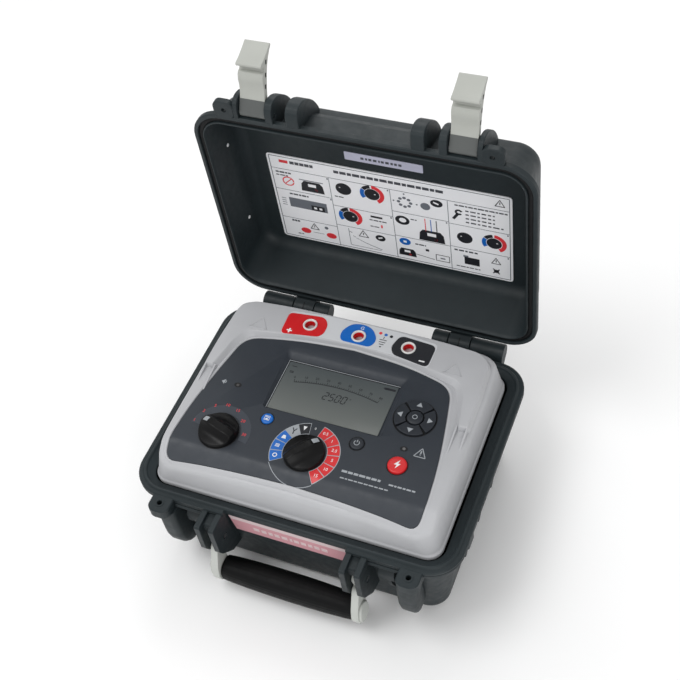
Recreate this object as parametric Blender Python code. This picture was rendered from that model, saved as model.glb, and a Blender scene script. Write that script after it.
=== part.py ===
"""Insulation resistance tester in a hinged carrying case, open lid, handle hanging."""
import math

import bmesh
import bpy
from mathutils import Matrix, Vector

for old in list(bpy.data.objects):
    bpy.data.objects.remove(old, do_unlink=True)

# Driving sizes in millimetres. Heights are measured from the case rim; RIM_Z lifts them to the floor.
RIM_Z = 105.0
RIM_X = 157.5
RIM_Y = 118.4
RIM_R = 31.0
FLOOR_Z = -101.0
HINGE_Y = 130.35
HINGE_Z = -2.2
BARREL_R = 9.5
PIN_R = 2.5
PIN_HOLE_R = 2.8
LATCH_PIN_R = 1.8
PADLOCK_X = 119.8
PADLOCK_Y = -125.2
LID_OPEN = 87.5
LATCH_Y = -122.65
LATCH_Z = 7.0
LATCH_OPEN = 110.0
HANDLE_Y = -123.0
HANDLE_Z = -31.0
DECK_TOP = 34.0
CREASE_Y = -76.0
SOCKET_X = (-50.0, 0.0, 50.0)
SOCKET_Y = 78.5
TIMER_KNOB = (-84.0, -58.0)
RANGE_KNOB = (0.0, -57.0)
TIMER_ANGLE = 162.0
RANGE_ANGLE = 52.0
KNOB_R = 19.0
NAV = (81.0, 8.0)
SAVE = (-47.0, -32.0)
POWER = (41.0, -33.0)
TEST = (83.0, -44.0)
LEDS = ((-89.7, -4.5), (82.5, -25.6))
LCD = (0.0, 10.0)
LCD_HALF = (54.5, 28.0)
POSTS = ((-118.0, -72.0), (118.0, -72.0), (-118.0, 78.0), (118.0, 78.0))

LID_TURN = (Matrix.Translation((0, HINGE_Y, HINGE_Z))
            @ Matrix.Rotation(-math.radians(LID_OPEN), 4, "X")
            @ Matrix.Translation((0, -HINGE_Y, -HINGE_Z)))
LATCH_TURN = LID_TURN @ (Matrix.Translation((0, LATCH_Y, LATCH_Z))
                         @ Matrix.Rotation(-math.radians(LATCH_OPEN), 4, "X")
                         @ Matrix.Translation((0, -LATCH_Y, -LATCH_Z)))
HINGE_AXIS = (0.0, HINGE_Y, HINGE_Z)
LATCH_AXIS = tuple(LID_TURN @ Vector((0.0, LATCH_Y, LATCH_Z)))
HANDLE_AXIS = (0.0, HANDLE_Y, HANDLE_Z)


# Materials

def linear(value):
    value = value / 255.0
    return value / 12.92 if value <= 0.04045 else ((value + 0.055) / 1.055) ** 2.4


def paint(name, rgb, roughness=0.5, metallic=0.0):
    material = bpy.data.materials.new(name)
    material.use_nodes = True
    shader = material.node_tree.nodes["Principled BSDF"]
    shader.inputs["Base Color"].default_value = [linear(c) for c in rgb] + [1.0]
    shader.inputs["Roughness"].default_value = roughness
    shader.inputs["Metallic"].default_value = metallic
    return material


CASE = paint("case_charcoal", (52, 56, 60), 0.55)
DECK = paint("deck_grey", (168, 169, 171), 0.5)
OVERLAY = paint("overlay_slate", (61, 67, 75), 0.45)
GLASS = paint("display_grey", (88, 93, 95), 0.2)
BLACK = paint("knob_black", (24, 25, 27), 0.45)
RUBBER = paint("rubber_black", (30, 31, 33), 0.8)
LATCH = paint("latch_grey", (160, 161, 154), 0.5)
HANDLE = paint("handle_grey", (185, 188, 182), 0.5)
RED = paint("signal_red", (205, 33, 40), 0.4)
BLUE = paint("signal_blue", (18, 120, 192), 0.4)
WHITE = paint("ring_white", (206, 207, 205), 0.4)
PINK = paint("label_pink", (207, 162, 168), 0.5)
PAPER = paint("card_paper", (217, 218, 221), 0.6)
LILAC = paint("label_lilac", (200, 200, 216), 0.6)
STEEL = paint("steel", (150, 152, 155), 0.35, 1.0)
BRASS = paint("brass", (190, 160, 90), 0.35, 1.0)
BOARD = paint("board_green", (30, 92, 58), 0.5)
COPPER = paint("winding_copper", (168, 96, 52), 0.4, 0.6)
CELL = paint("cell_wrap", (40, 62, 104), 0.5)
AMBER = paint("lens_amber", (196, 150, 70), 0.3)


# Shapes

def ring(half_x, half_y, radius, z, steps=6, centre=(0.0, 0.0)):
    """Rounded rectangle, counter-clockwise, as 3-D points at one height."""
    points = []
    for corner in range(4):
        sx = 1 if corner in (0, 3) else -1
        sy = 1 if corner < 2 else -1
        for step in range(steps + 1):
            angle = math.radians(90 * corner + 90 * step / steps)
            x = centre[0] + sx * (half_x - radius) + radius * math.cos(angle)
            y = centre[1] + sy * (half_y - radius) + radius * math.sin(angle)
            points.append(Vector((x, y, z)))
    return points


def circle(radius, z, centre=(0.0, 0.0), count=24):
    turn = 2 * math.pi / count
    return [Vector((centre[0] + radius * math.cos(turn * i), centre[1] + radius * math.sin(turn * i), z))
            for i in range(count)]


def loft(rings, looped=False):
    """Skin rings of equal count; the ends are capped unless the stack is a loop."""
    bm = bmesh.new()
    rows = [[bm.verts.new(p) for p in points] for points in rings]
    pairs = list(zip(rows, rows[1:]))
    if looped:
        pairs.append((rows[-1], rows[0]))
    for low, high in pairs:
        for i in range(len(low)):
            j = (i + 1) % len(low)
            bm.faces.new((low[i], low[j], high[j], high[i]))
    if not looped:
        bm.faces.new(list(reversed(rows[0])))
        bm.faces.new(rows[-1])
    bmesh.ops.recalc_face_normals(bm, faces=bm.faces)
    return bm


def plate(outline, z0, z1):
    return loft([[Vector((x, y, z)) for x, y in outline] for z in (z0, z1)])


def bar(profile, x0, x1):
    """Side profile of (y, z) points carried along X."""
    return loft([[Vector((x, y, z)) for y, z in profile] for x in (x0, x1)])


def block(x0, x1, y0, y1, z0, z1):
    return plate(((x0, y0), (x1, y0), (x1, y1), (x0, y1)), z0, z1)


def turned(profile, centre=(0.0, 0.0), count=24):
    return loft([circle(r, z, centre, count) for r, z in profile])


def tube(outer, inner, z0, z1, centre=(0.0, 0.0), count=24):
    pairs = ((outer, z0), (outer, z1), (inner, z1), (inner, z0))
    return loft([circle(r, z, centre, count) for r, z in pairs], looped=True)


def rod_x(radius, x0, x1, y, z, count=20):
    turn = 2 * math.pi / count
    profile = [(y + radius * math.cos(turn * i), z + radius * math.sin(turn * i)) for i in range(count)]
    return bar(profile, x0, x1)


def arc(y, z, radius, start, end, count):
    """Points (y, z) on an arc between two angles in degrees."""
    points = []
    for i in range(count + 1):
        angle = math.radians(start + (end - start) * i / count)
        points.append((y + radius * math.cos(angle), z + radius * math.sin(angle)))
    return points


def mirrored(outline):
    """Right half of an outline, front to back, completed by its mirror image."""
    left = [(-x, y) for x, y in reversed(outline) if abs(x) > 1e-6]
    return list(outline) + left


def sides(x0, x1):
    """The same span on the right and on the left."""
    return ((x0, x1), (-x1, -x0))


# Objects

def solid(name, bm, material, turn=None, pivot=None, smooth=30.0):
    """Named object in metres, lifted so the feet stand on z = 0, origin on its pivot."""
    if turn is not None:
        bmesh.ops.transform(bm, matrix=turn, verts=bm.verts)
    centre = Vector(pivot) if pivot is not None else Vector((0.0, 0.0, -RIM_Z))
    bmesh.ops.translate(bm, vec=-centre, verts=bm.verts)
    bmesh.ops.scale(bm, vec=(0.001, 0.001, 0.001), verts=bm.verts)
    bmesh.ops.recalc_face_normals(bm, faces=bm.faces)
    mesh = bpy.data.meshes.new(name)
    bm.to_mesh(mesh)
    bm.free()
    mesh.materials.append(material)
    ob = bpy.data.objects.new(name, mesh)
    ob.location = 0.001 * (centre + Vector((0.0, 0.0, RIM_Z)))
    bpy.context.scene.collection.objects.link(ob)
    mesh.shade_smooth()
    mesh.set_sharp_from_angle(angle=math.radians(smooth))
    return ob


def combine(bm, others, operation):
    """Exact Boolean of one shape with several, one after another."""
    mesh = bpy.data.meshes.new("work")
    bm.to_mesh(mesh)
    bm.free()
    body = bpy.data.objects.new("work", mesh)
    bpy.context.scene.collection.objects.link(body)
    for other in others:
        tool_mesh = bpy.data.meshes.new("tool")
        other.to_mesh(tool_mesh)
        other.free()
        tool = bpy.data.objects.new("tool", tool_mesh)
        bpy.context.scene.collection.objects.link(tool)
        modifier = body.modifiers.new("work", "BOOLEAN")
        modifier.operation = operation
        modifier.solver = "EXACT"
        modifier.object = tool
        graph = bpy.context.evaluated_depsgraph_get()
        result = bpy.data.meshes.new_from_object(body.evaluated_get(graph))
        body.modifiers.clear()
        body.data = result
        bpy.data.objects.remove(tool, do_unlink=True)
    out = bmesh.new()
    out.from_mesh(body.data)
    bpy.data.objects.remove(body, do_unlink=True)
    bmesh.ops.remove_doubles(out, verts=out.verts, dist=0.0005)
    bmesh.ops.dissolve_degenerate(out, dist=0.0005, edges=out.edges)
    return out


# Case

def case_shell():
    rows = ((135.0, 96.0, 16.0, FLOOR_Z), (139.0, 100.0, 19.0, -97.5), (150.5, 111.4, 25.0, -7.0),
            (RIM_X, RIM_Y, RIM_R, -7.0), (RIM_X, RIM_Y, RIM_R, 0.0), (153.0, 113.9, 27.0, 0.0),
            (152.0, 112.9, 26.0, 1.5), (150.0, 110.9, 24.5, 1.5), (149.0, 109.9, 24.0, 0.0),
            (141.0, 104.5, 16.0, -2.5), (140.5, 104.0, 15.5, -8.0), (147.0, 108.0, 22.0, -10.0),
            (136.0, 97.0, 17.0, -96.0), (132.5, 93.5, 15.0, -98.0))
    return loft([ring(*row) for row in rows])


def base_knuckle():
    web = [(118.0, -6.5), (110.0, -6.5), (107.0, -32.0)]
    return arc(HINGE_Y, HINGE_Z, BARREL_R, -70, 180, 12) + web


def lid_knuckle():
    web = [(119.5, 4.0), (115.5, 5.2), (109.5, 5.2), (103.0, 32.0)]
    return list(reversed(arc(HINGE_Y, HINGE_Z, BARREL_R, -180, 70, 12))) + web


def base_case():
    ear = ((-109.0, -4.0), (-124.0, -3.0), (-136.5, -3.6), (-138.0, -5.5), (-137.6, -38.0),
           (-134.0, -46.0), (-119.0, -64.0), (-102.5, -68.0))
    catch = ((-108.8, -15.0), (-113.0, -17.0), (-119.3, -25.0), (-119.4, -35.4), (-106.0, -35.4))
    parts = [block(-80, 80, -12, 12, -RIM_Z, FLOOR_Z + 1.0)]
    for x0, x1 in sides(60.0, 65.5) + sides(74.0, 79.5):
        parts.append(bar(ear, x0, x1))
    for x0, x1 in sides(86.0, 102.0):
        parts.append(bar(catch, x0, x1))
    for x0, x1 in sides(65.0, 74.5):
        parts.append(block(x0, x1, -131.0, -110.0, -17.0, -6.0))
    for x0, x1 in sides(55.0, 70.8) + sides(94.0, 127.0):
        parts.append(bar(base_knuckle(), x0, x1))
    for side in (-1, 1):
        lug = (119.5 * side, -121.3)
        parts.append(loft([ring(10.5, 13.2, 7.0, z, 4, lug) for z in (-13.0, -1.0)]))
        fin = ((9.0, 11.5, 4.0, -12.5), (9.0, 12.5, 4.0, -54.0), (7.6, 10.25, 4.0, -72.0),
               (4.0, 4.05, 3.0, -88.0))
        centres = (-118.0, -116.5, -112.25, -102.95)
        parts.append(loft([ring(*row, 4, (115.8 * side, y)) for row, y in zip(fin, centres)]))
    for x0, x1 in sides(148.3, 157.0):
        parts.append(block(x0, x1, -77.0, -60.0, -17.0, -5.0))
    bm = combine(case_shell(), parts, "UNION")
    holes = [block(-59.6, 59.6, -125.0, -113.8, -9.0, 3.0)]
    for x0, x1 in sides(59.0, 80.5):
        holes.append(rod_x(PIN_HOLE_R, x0, x1, HANDLE_Y, HANDLE_Z))
    for x0, x1 in sides(56.5, 125.5):
        holes.append(rod_x(PIN_HOLE_R, x0, x1, HINGE_Y, HINGE_Z))
    for side in (-1, 1):
        holes.append(turned(((2.8, -16.0), (2.8, 2.0)), (PADLOCK_X * side, PADLOCK_Y), 16))
    for post in POSTS:
        holes.append(turned(((4.2, -102.0), (4.2, -97.0)), post, 16))
    return combine(bm, holes, "DIFFERENCE")


def console(inset):
    """Console body: a side profile trimmed by a tapering plan with rounded corners."""
    low = -2.0 - (inset > 0) * 3.0
    top = DECK_TOP - inset
    profile = ((-103.0 + inset, low), (-103.0 + inset, 0.0), (-93.6 + inset, top - 10.0),
               (CREASE_Y + 0.3 * inset, top), (96.0 - inset, top), (102.0 - inset, 0.0),
               (102.0 - inset, low))
    plan = [ring(139.0 - inset, 102.5 - inset, 14.0 - inset, z, 6, (0.0, -0.5)) for z in (low - 1.0, 0.0)]
    plan.append(ring(131.0 - inset, 102.5 - inset, 11.0 - inset, DECK_TOP + 4.0, 6, (0.0, -0.5)))
    return combine(bar(profile, -150.0, 150.0), [loft(plan)], "INTERSECT")


def panel_holes(extra, z0, z1):
    """Openings shared by the deck and its overlay."""
    holes = [loft([ring(LCD_HALF[0] + extra, LCD_HALF[1] + extra, 2.0, z, 2, LCD) for z in (z0, z1)])]
    round_holes = ((TIMER_KNOB, 3.4), (RANGE_KNOB, 3.4), (SAVE, 6.1), (POWER, 6.9), (TEST, 9.2),
                   (NAV, 20.3), (LEDS[0], 2.4), (LEDS[1], 2.4))
    for centre, radius in round_holes:
        holes.append(turned(((radius, z0), (radius, z1)), centre))
    return holes


def deck_panel():
    bm = combine(console(0.0), [console(2.5)], "DIFFERENCE")
    posts = [turned(((4.6, -97.7), (4.6, DECK_TOP - 1.0)), post, 16) for post in POSTS]
    bm = combine(bm, posts, "UNION")
    holes = panel_holes(0.3, DECK_TOP - 8.0, DECK_TOP + 4.0)
    for x in SOCKET_X:
        holes.append(turned(((6.8, DECK_TOP - 8.0), (6.8, DECK_TOP + 4.0)), (x, SOCKET_Y)))
    for post in POSTS:
        holes.append(turned(((1.8, -99.0), (1.8, -78.0)), post, 12))
    return combine(bm, holes, "DIFFERENCE")


def overlay():
    front = ((0.0, -88.0), (42.0, -89.0), (88.0, -92.0), (109.0, -93.0), (120.0, -90.5), (123.5, CREASE_Y))
    rear = ((123.0, -62.0), (119.0, -22.0), (113.5, 8.0), (108.0, 36.0), (102.0, 49.0), (55.0, 60.5),
            (0.0, 64.5))
    bm = bmesh.new()
    rows = []
    for lift in (0.3, 1.0):
        row = {}
        for x, y in mirrored(front + rear):
            drop = max(0.0, CREASE_Y - y) * 10.0 / 17.6
            row[(x, y)] = bm.verts.new((x, y, DECK_TOP + lift - drop))
        rows.append(row)
    outline = mirrored(front + rear)
    main = [p for p in outline if p[1] >= CREASE_Y]
    strip = mirrored(front)
    low, high = rows
    bm.faces.new([high[p] for p in main])
    bm.faces.new([high[p] for p in strip])
    bm.faces.new([low[p] for p in reversed(main)])
    bm.faces.new([low[p] for p in reversed(strip)])
    for a, b in zip(outline, outline[1:] + outline[:1]):
        bm.faces.new((low[a], low[b], high[b], high[a]))
    bmesh.ops.recalc_face_normals(bm, faces=bm.faces)
    return combine(bm, panel_holes(0.0, DECK_TOP - 3.0, DECK_TOP + 3.0), "DIFFERENCE")


def terminal_housing():
    outer = [(121.0, 7.5), (129.5, 8.5), (129.0, 40.0), (127.0, 80.0), (117.0, 92.0), (76.0, 95.0)]
    inner = [(0.0, 67.0), (55.0, 62.5), (103.5, 51.0), (110.0, 37.0), (115.5, 12.5)]
    half = inner[1:] + outer
    outline = [inner[0]] + half + [(-x, y) for x, y in reversed(half)]
    top = [(x * 0.992, y - (0.8 if y > 60 else -0.6)) for x, y in outer]
    crown = [inner[0]] + inner[1:] + top + [(-x, y) for x, y in reversed(inner[1:] + top)]
    rows = [[Vector((x, y, z)) for x, y in pts]
            for pts, z in ((outline, DECK_TOP + 0.3), (outline, 38.5), (crown, 40.0))]
    holes = [turned(((6.8, 30.0), (6.8, 44.0)), (x, SOCKET_Y)) for x in SOCKET_X]
    return combine(loft(rows), holes, "DIFFERENCE")


def terminal_label(outline, x):
    hole = turned(((7.4, 39.0), (7.4, 43.0)), (x, SOCKET_Y))
    return combine(plate(outline, 40.3, 40.8), [hole], "DIFFERENCE")


def socket(x):
    rows = ((6.4, 21.0), (6.4, 40.2), (7.1, 40.2), (7.1, 42.0), (4.6, 42.0), (4.6, 23.0))
    return loft([circle(r, z, (x, SOCKET_Y)) for r, z in rows])


def knob(centre, angle):
    body = turned(((KNOB_R, 35.5), (KNOB_R, 38.0), (KNOB_R - 1.2, 39.6)), centre, 36)
    rows = ((17.0, 4.6, 3.5, 39.0), (16.5, 4.2, 3.2, 45.8), (15.5, 3.4, 2.6, 47.0))
    grip = loft([ring(*row, 3) for row in rows])
    place = Matrix.Translation((centre[0], centre[1], 0.0)) @ Matrix.Rotation(math.radians(angle), 4, "Z")
    bmesh.ops.transform(grip, matrix=place, verts=grip.verts)
    shaft = turned(((3.0, 14.0), (3.0, 36.5)), centre, 16)
    return combine(body, [grip, shaft], "UNION")


def push_button(centre, radius, top):
    profile = ((2.0, 27.5), (2.0, 31.0), (radius, 31.0), (radius, top - 0.7), (radius - 0.8, top))
    return turned(profile, centre)


def sector_key(centre, start):
    """One quarter of the navigation ring, narrowed by the gaps beside it."""
    outer = [(19.6, math.radians(start + 2.5 + 85.0 * i / 6)) for i in range(7)]
    inner = [(8.4, math.radians(start + 85.5 - 81.0 * i / 4)) for i in range(5)]
    outline = [(centre[0] + r * math.cos(a), centre[1] + r * math.sin(a)) for r, a in outer + inner]
    return plate(outline, 32.2, 37.4)


# Lid, drawn closed and turned open

def lid_shell():
    rows = ((133.0, 86.0, 12.0, 55.0), (139.5, 93.0, 15.0, 54.0), (144.0, 97.5, 18.0, 51.0),
            (147.0, 100.5, 20.0, 46.5), (148.0, 102.0, 21.0, 40.0), (150.5, 111.4, 25.0, 7.0),
            (RIM_X, RIM_Y, RIM_R, 7.0), (RIM_X, RIM_Y, RIM_R, 0.4), (153.3, 114.2, 27.0, 0.4),
            (153.3, 114.2, 27.0, 4.2), (148.7, 109.6, 23.0, 4.2), (148.7, 109.6, 23.0, 0.4),
            (147.0, 107.7, 21.0, 0.4), (144.2, 98.6, 17.0, 44.0), (140.5, 95.0, 14.0, 50.0),
            (136.5, 91.0, 12.0, 51.5))
    dome = ((-115.0, 1.0), (-115.0, 5.2), (-109.0, 5.2), (-101.4, 43.0), (-104.6, 43.6),
            (-114.0, 40.0), (-125.0, 32.0), (-133.0, 22.0), (-137.0, 12.0), (-135.4, 5.0), (-128.0, 1.0))
    parts = []
    for x0, x1 in sides(71.4, 93.4):
        parts.append(bar(lid_knuckle(), x0, x1))
    for x0, x1 in sides(50.0, 62.0) + sides(74.6, 81.2) + sides(107.2, 111.4):
        parts.append(bar(dome, x0, x1))
    for side in (-1, 1):
        parts.append(loft([ring(9.8, 9.3, 7.0, z, 4, (120.4 * side, -124.8)) for z in (0.6, 5.5)]))
    bm = combine(loft([ring(*row) for row in rows]), parts, "UNION")
    holes = []
    for x0, x1 in sides(70.0, 95.0):
        holes.append(rod_x(PIN_HOLE_R, x0, x1, HINGE_Y, HINGE_Z))
    for x0, x1 in sides(78.2, 109.9):
        holes.append(rod_x(LATCH_PIN_R + 0.3, x0, x1, LATCH_Y, LATCH_Z, 16))
    for side in (-1, 1):
        holes.append(turned(((2.8, -1.0), (2.8, 8.0)), (PADLOCK_X * side, PADLOCK_Y), 16))
    return combine(bm, holes, "DIFFERENCE")


def lid_gasket():
    rows = ((152.9, 113.8, 26.6, 2.1), (152.9, 113.8, 26.6, 3.9), (149.1, 110.0, 23.4, 3.9),
            (149.1, 110.0, 23.4, 2.1))
    return loft([ring(*row) for row in rows], looped=True)


def latch(x0, x1):
    """Over-centre latch drawn closed: distance down the arm, then outward from the wall."""
    profile = ((-2.7, -2.7), (0.0, -3.8), (5.0, -3.0), (9.0, -2.0), (38.0, -2.0), (43.3, -3.0),
               (43.3, -7.5), (45.6, -8.0), (47.6, -6.4), (50.0, -1.5), (56.0, 5.0), (60.6, 9.4),
               (61.4, 11.6), (59.4, 12.4), (54.0, 8.8), (46.0, 4.8), (30.0, 3.2), (8.0, 4.2),
               (0.0, 4.4), (-2.9, 2.9), (-3.8, 0.0))
    points = [(LATCH_Y - out, LATCH_Z - down) for down, out in profile]
    hole = rod_x(LATCH_PIN_R + 0.3, x0 - 2.0, x1 + 2.0, LATCH_Y, LATCH_Z, 16)
    return combine(bar(points, x0, x1), [hole], "DIFFERENCE")


# Handle

def handle_arm(side):
    upper = arc(HANDLE_Y, HANDLE_Z, 7.0, 0, 180, 10)
    lower = [(-131.6, -40.0), (-136.6, -53.0), (-141.6, -66.0), (-143.5, -79.0), (-139.5, -90.0),
             (-131.0, -92.6), (-123.6, -89.0), (-121.0, -79.0), (-123.4, -64.0), (-117.4, -42.0)]
    inner, outer = 66.0 * side, 73.5 * side
    cheek = bar(upper + lower, min(inner, outer), max(inner, outer))
    outer = 75.6 * side
    boss = bar(lower[2:8], min(inner, outer), max(inner, outer))
    bm = combine(cheek, [boss], "UNION")
    hole = rod_x(PIN_HOLE_R, min(inner, outer) - 3.0, max(inner, outer) + 3.0, HANDLE_Y, HANDLE_Z, 16)
    return combine(bm, [hole], "DIFFERENCE")


def handle_grip():
    profile = []
    for i in range(24):
        angle = 2 * math.pi * i / 24
        dent = 0.9 if i in (15, 17, 19) else 0.0
        profile.append((-130.3 + (12.6 - dent) * math.cos(angle), -79.5 + (13.6 - dent) * math.sin(angle)))
    rows = []
    for x, scale in ((-65.6, 0.86), (-62.0, 0.92), (-32.0, 0.99), (32.0, 0.99), (62.0, 0.92), (65.6, 0.86)):
        row = [(-130.3 + (y + 130.3) * scale, -79.5 + (z + 79.5) * scale) for y, z in profile]
        rows.append([Vector((x, y, z)) for y, z in row])
    return loft(rows)


# Build the base

solid("base_case", base_case(), CASE)
solid("deck_panel", deck_panel(), DECK)
solid("panel_overlay", overlay(), OVERLAY)
solid("terminal_housing", terminal_housing(), DECK)
LABELS = (("red_terminal_label", RED, ((-74, 62), (-37, 68), (-34, 77), (-35, 84), (-40, 90), (-75, 87))),
          ("blue_terminal_label", BLUE, ((-16, 70), (15, 70), (17, 80), (11, 89), (0, 92.5), (-14, 89.5),
                                         (-18.5, 79))),
          ("black_terminal_label", BLACK, ((34, 74), (39, 67.5), (74, 62), (72, 88.5), (37, 89.5))))
for (label_name, label_paint, points), socket_x in zip(LABELS, SOCKET_X):
    solid(label_name, terminal_label(points, socket_x), label_paint)
for tag, socket_x in zip(("red", "blue", "black"), SOCKET_X):
    solid(tag + "_terminal_socket", socket(socket_x), WHITE)
    contact = turned(((3.4, 12.0), (3.4, 20.6)), (socket_x, SOCKET_Y), 16)
    solid(tag + "_terminal_contact", contact, BRASS)
window = loft([ring(LCD_HALF[0], LCD_HALF[1], 2.0, z, 2, LCD) for z in (32.2, 33.8)])
solid("display_window", window, GLASS)
solid("display_module", block(-58, 58, -22, 43, 22.5, 30.9), BLACK)
solid("main_board", block(-105, 105, -68, 66, 4.0, 5.6), BOARD)
for tag, centre in (("timer", TIMER_KNOB), ("range", RANGE_KNOB)):
    solid(tag + "_rotary_switch", tube(12.0, 3.4, 8.0, 31.0, centre), BLACK)
core = block(24, 80, 0, 46, -96, -56)
winding = turned(((19.0, -90.0), (19.0, -48.0)), (52.0, 23.0))
solid("high_voltage_transformer", combine(core, [winding], "UNION"), COPPER)
solid("battery_pack", loft([ring(48, 31, 8, z, 4, (-56, -14)) for z in (-96.5, -56.0)]), CELL)
solid("storage_capacitor", turned(((11.0, -96.5), (11.0, -52.0)), (52.0, -42.0)), BLACK)
solid("buzzer", tube(8.0, 1.4, 6.0, 15.0, (-72.0, 48.0)), BLACK)
for tag, centre in (("left", LEDS[0]), ("right", LEDS[1])):
    solid(tag + "_status_lens", turned(((2.1, 28.0), (2.1, 34.6), (1.4, 35.3)), centre, 16), AMBER)
label_side = ((-111.6, -9.0), (-113.0, -9.0), (-109.5, -37.0), (-108.1, -37.0))
label = bar(label_side, -59.0, 59.0)
for vert in label.verts:
    vert.co.x *= 1.0 + 0.06 * (vert.co.z + 9.0) / 28.0
solid("front_label_plate", label, PINK)
for tag, (x, y) in zip(("front_left", "front_right", "rear_left", "rear_right"), POSTS):
    foot_x = math.copysign(104.0, x)
    foot_y = math.copysign(66.0, y)
    rows = ((9.0, -RIM_Z), (10.0, -RIM_Z + 1.0), (10.0, FLOOR_Z - 0.3))
    solid("foot_" + tag, turned(rows, (foot_x, foot_y)), RUBBER)
    rows = ((3.6, -100.6), (3.6, -98.4), (1.5, -98.0), (1.5, -80.0))
    solid("case_screw_" + tag, turned(rows, (x, y), 16), STEEL)
for tag, (x0, x1) in zip(("right", "left"), sides(60.4, 79.1)):
    solid("handle_pin_" + tag, rod_x(PIN_R, x0, x1, HANDLE_Y, HANDLE_Z), STEEL)
for tag, (x0, x1) in zip(("right", "left"), sides(57.0, 125.0)):
    solid("hinge_pin_" + tag, rod_x(PIN_R, x0, x1, HINGE_Y, HINGE_Z), STEEL)

# Controls

KNOBS = (("timer_knob", TIMER_KNOB, TIMER_ANGLE), ("range_knob", RANGE_KNOB, RANGE_ANGLE))
for name, centre, angle in KNOBS:
    solid(name, knob(centre, angle), BLACK, pivot=(centre[0], centre[1], DECK_TOP))
for name, centre, radius, top, tint in (("save_button", SAVE, 5.8, 36.6, BLUE),
                                        ("power_button", POWER, 6.5, 36.8, BLACK),
                                        ("test_button", TEST, 8.8, 37.6, RED)):
    solid(name, push_button(centre, radius, top), tint, pivot=(centre[0], centre[1], DECK_TOP))
NAV_KEYS = (("nav_right_key", -45), ("nav_up_key", 45), ("nav_left_key", 135), ("nav_down_key", 225))
for name, start in NAV_KEYS:
    solid(name, sector_key(NAV, start), BLACK, pivot=(NAV[0], NAV[1], DECK_TOP))
solid("nav_centre_key", push_button(NAV, 7.2, 37.8), BLACK, pivot=(NAV[0], NAV[1], DECK_TOP))

# Lid, latches and handle

solid("lid_shell", lid_shell(), CASE, turn=LID_TURN, pivot=HINGE_AXIS)
solid("lid_gasket", lid_gasket(), RUBBER, turn=LID_TURN, pivot=HINGE_AXIS)
card = block(-120.5, 120.5, -29.6, 85.4, 50.5, 51.2)
solid("instruction_card", card, PAPER, turn=LID_TURN, pivot=HINGE_AXIS)
strip = block(-37.0, 37.0, -49.2, -39.6, 50.6, 51.2)
solid("lid_strip_label", strip, LILAC, turn=LID_TURN, pivot=HINGE_AXIS)
for tag, (x0, x1) in zip(("right", "left"), sides(78.6, 109.5)):
    pin = rod_x(LATCH_PIN_R, x0, x1, LATCH_Y, LATCH_Z, 16)
    solid("latch_pin_" + tag, pin, STEEL, turn=LID_TURN, pivot=HINGE_AXIS)
for tag, (x0, x1) in zip(("right", "left"), sides(82.3, 106.1)):
    solid("latch_" + tag, latch(x0, x1), LATCH, turn=LATCH_TURN, pivot=LATCH_AXIS)
solid("handle_arm_right", handle_arm(1), HANDLE, pivot=HANDLE_AXIS)
solid("handle_arm_left", handle_arm(-1), HANDLE, pivot=HANDLE_AXIS)
solid("handle_grip", handle_grip(), RUBBER, pivot=HANDLE_AXIS)
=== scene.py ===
"""Insulation resistance tester in its open carrying case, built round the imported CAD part."""

import math

import bmesh
import bpy
from mathutils import Matrix, Vector


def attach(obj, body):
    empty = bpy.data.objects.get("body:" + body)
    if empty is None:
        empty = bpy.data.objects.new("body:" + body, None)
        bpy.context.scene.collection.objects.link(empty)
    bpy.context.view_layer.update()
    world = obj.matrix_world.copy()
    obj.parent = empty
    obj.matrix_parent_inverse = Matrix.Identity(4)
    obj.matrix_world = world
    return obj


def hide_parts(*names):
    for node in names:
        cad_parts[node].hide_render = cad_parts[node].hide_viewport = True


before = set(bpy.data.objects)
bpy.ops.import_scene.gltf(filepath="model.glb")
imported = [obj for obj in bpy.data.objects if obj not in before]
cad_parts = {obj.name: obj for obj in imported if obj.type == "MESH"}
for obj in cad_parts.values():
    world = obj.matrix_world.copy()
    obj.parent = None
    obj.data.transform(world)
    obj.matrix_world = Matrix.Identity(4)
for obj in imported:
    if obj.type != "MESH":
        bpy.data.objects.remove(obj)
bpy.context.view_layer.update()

# Sizes in millimetres; heights are measured from the case rim and lifted by RIM_Z at the end.
RIM_Z = 105.0
HINGE = (130.35, -2.2)
BARREL_R = 9.5
LID_OPEN = 87.5
LATCH = (-122.65, 7.0)
LATCH_OPEN = 110.0
CREASE_Y = -77.5
PANEL_Z = 35.0
SOCKETS = (-50.0, 0.0, 50.0)
SOCKET_Y = 78.5
PADLOCK = (119.8, -125.2)
PIVOT = (-123.0, -31.0)
TIMER = (-84.0, -58.0)
RANGE = (0.0, -57.0)
NAV = (81.0, 8.0)
SAVE = (-47.0, -32.0)
POWER = (41.0, -33.0)
TEST = (83.0, -44.0)


def turn_about(y, z, degrees):
    """Turn towards the opening direction about an axis parallel to X."""
    shift = Matrix.Translation((0.0, y, z))
    return shift @ Matrix.Rotation(-math.radians(degrees), 4, "X") @ shift.inverted()


LID_TURN = turn_about(*HINGE, LID_OPEN)
LATCH_TURN = LID_TURN @ turn_about(*LATCH, LATCH_OPEN)
TURNS = {"lid": LID_TURN, "latch_left": LATCH_TURN, "latch_right": LATCH_TURN}


# Materials ---------------------------------------------------------------------------------------

def linear(value):
    value = value / 255.0
    return value / 12.92 if value <= 0.04045 else ((value + 0.055) / 1.055) ** 2.4


def tint(rgb, scale=1.0):
    return [min(1.0, linear(c) * scale) for c in rgb] + [1.0]


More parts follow.
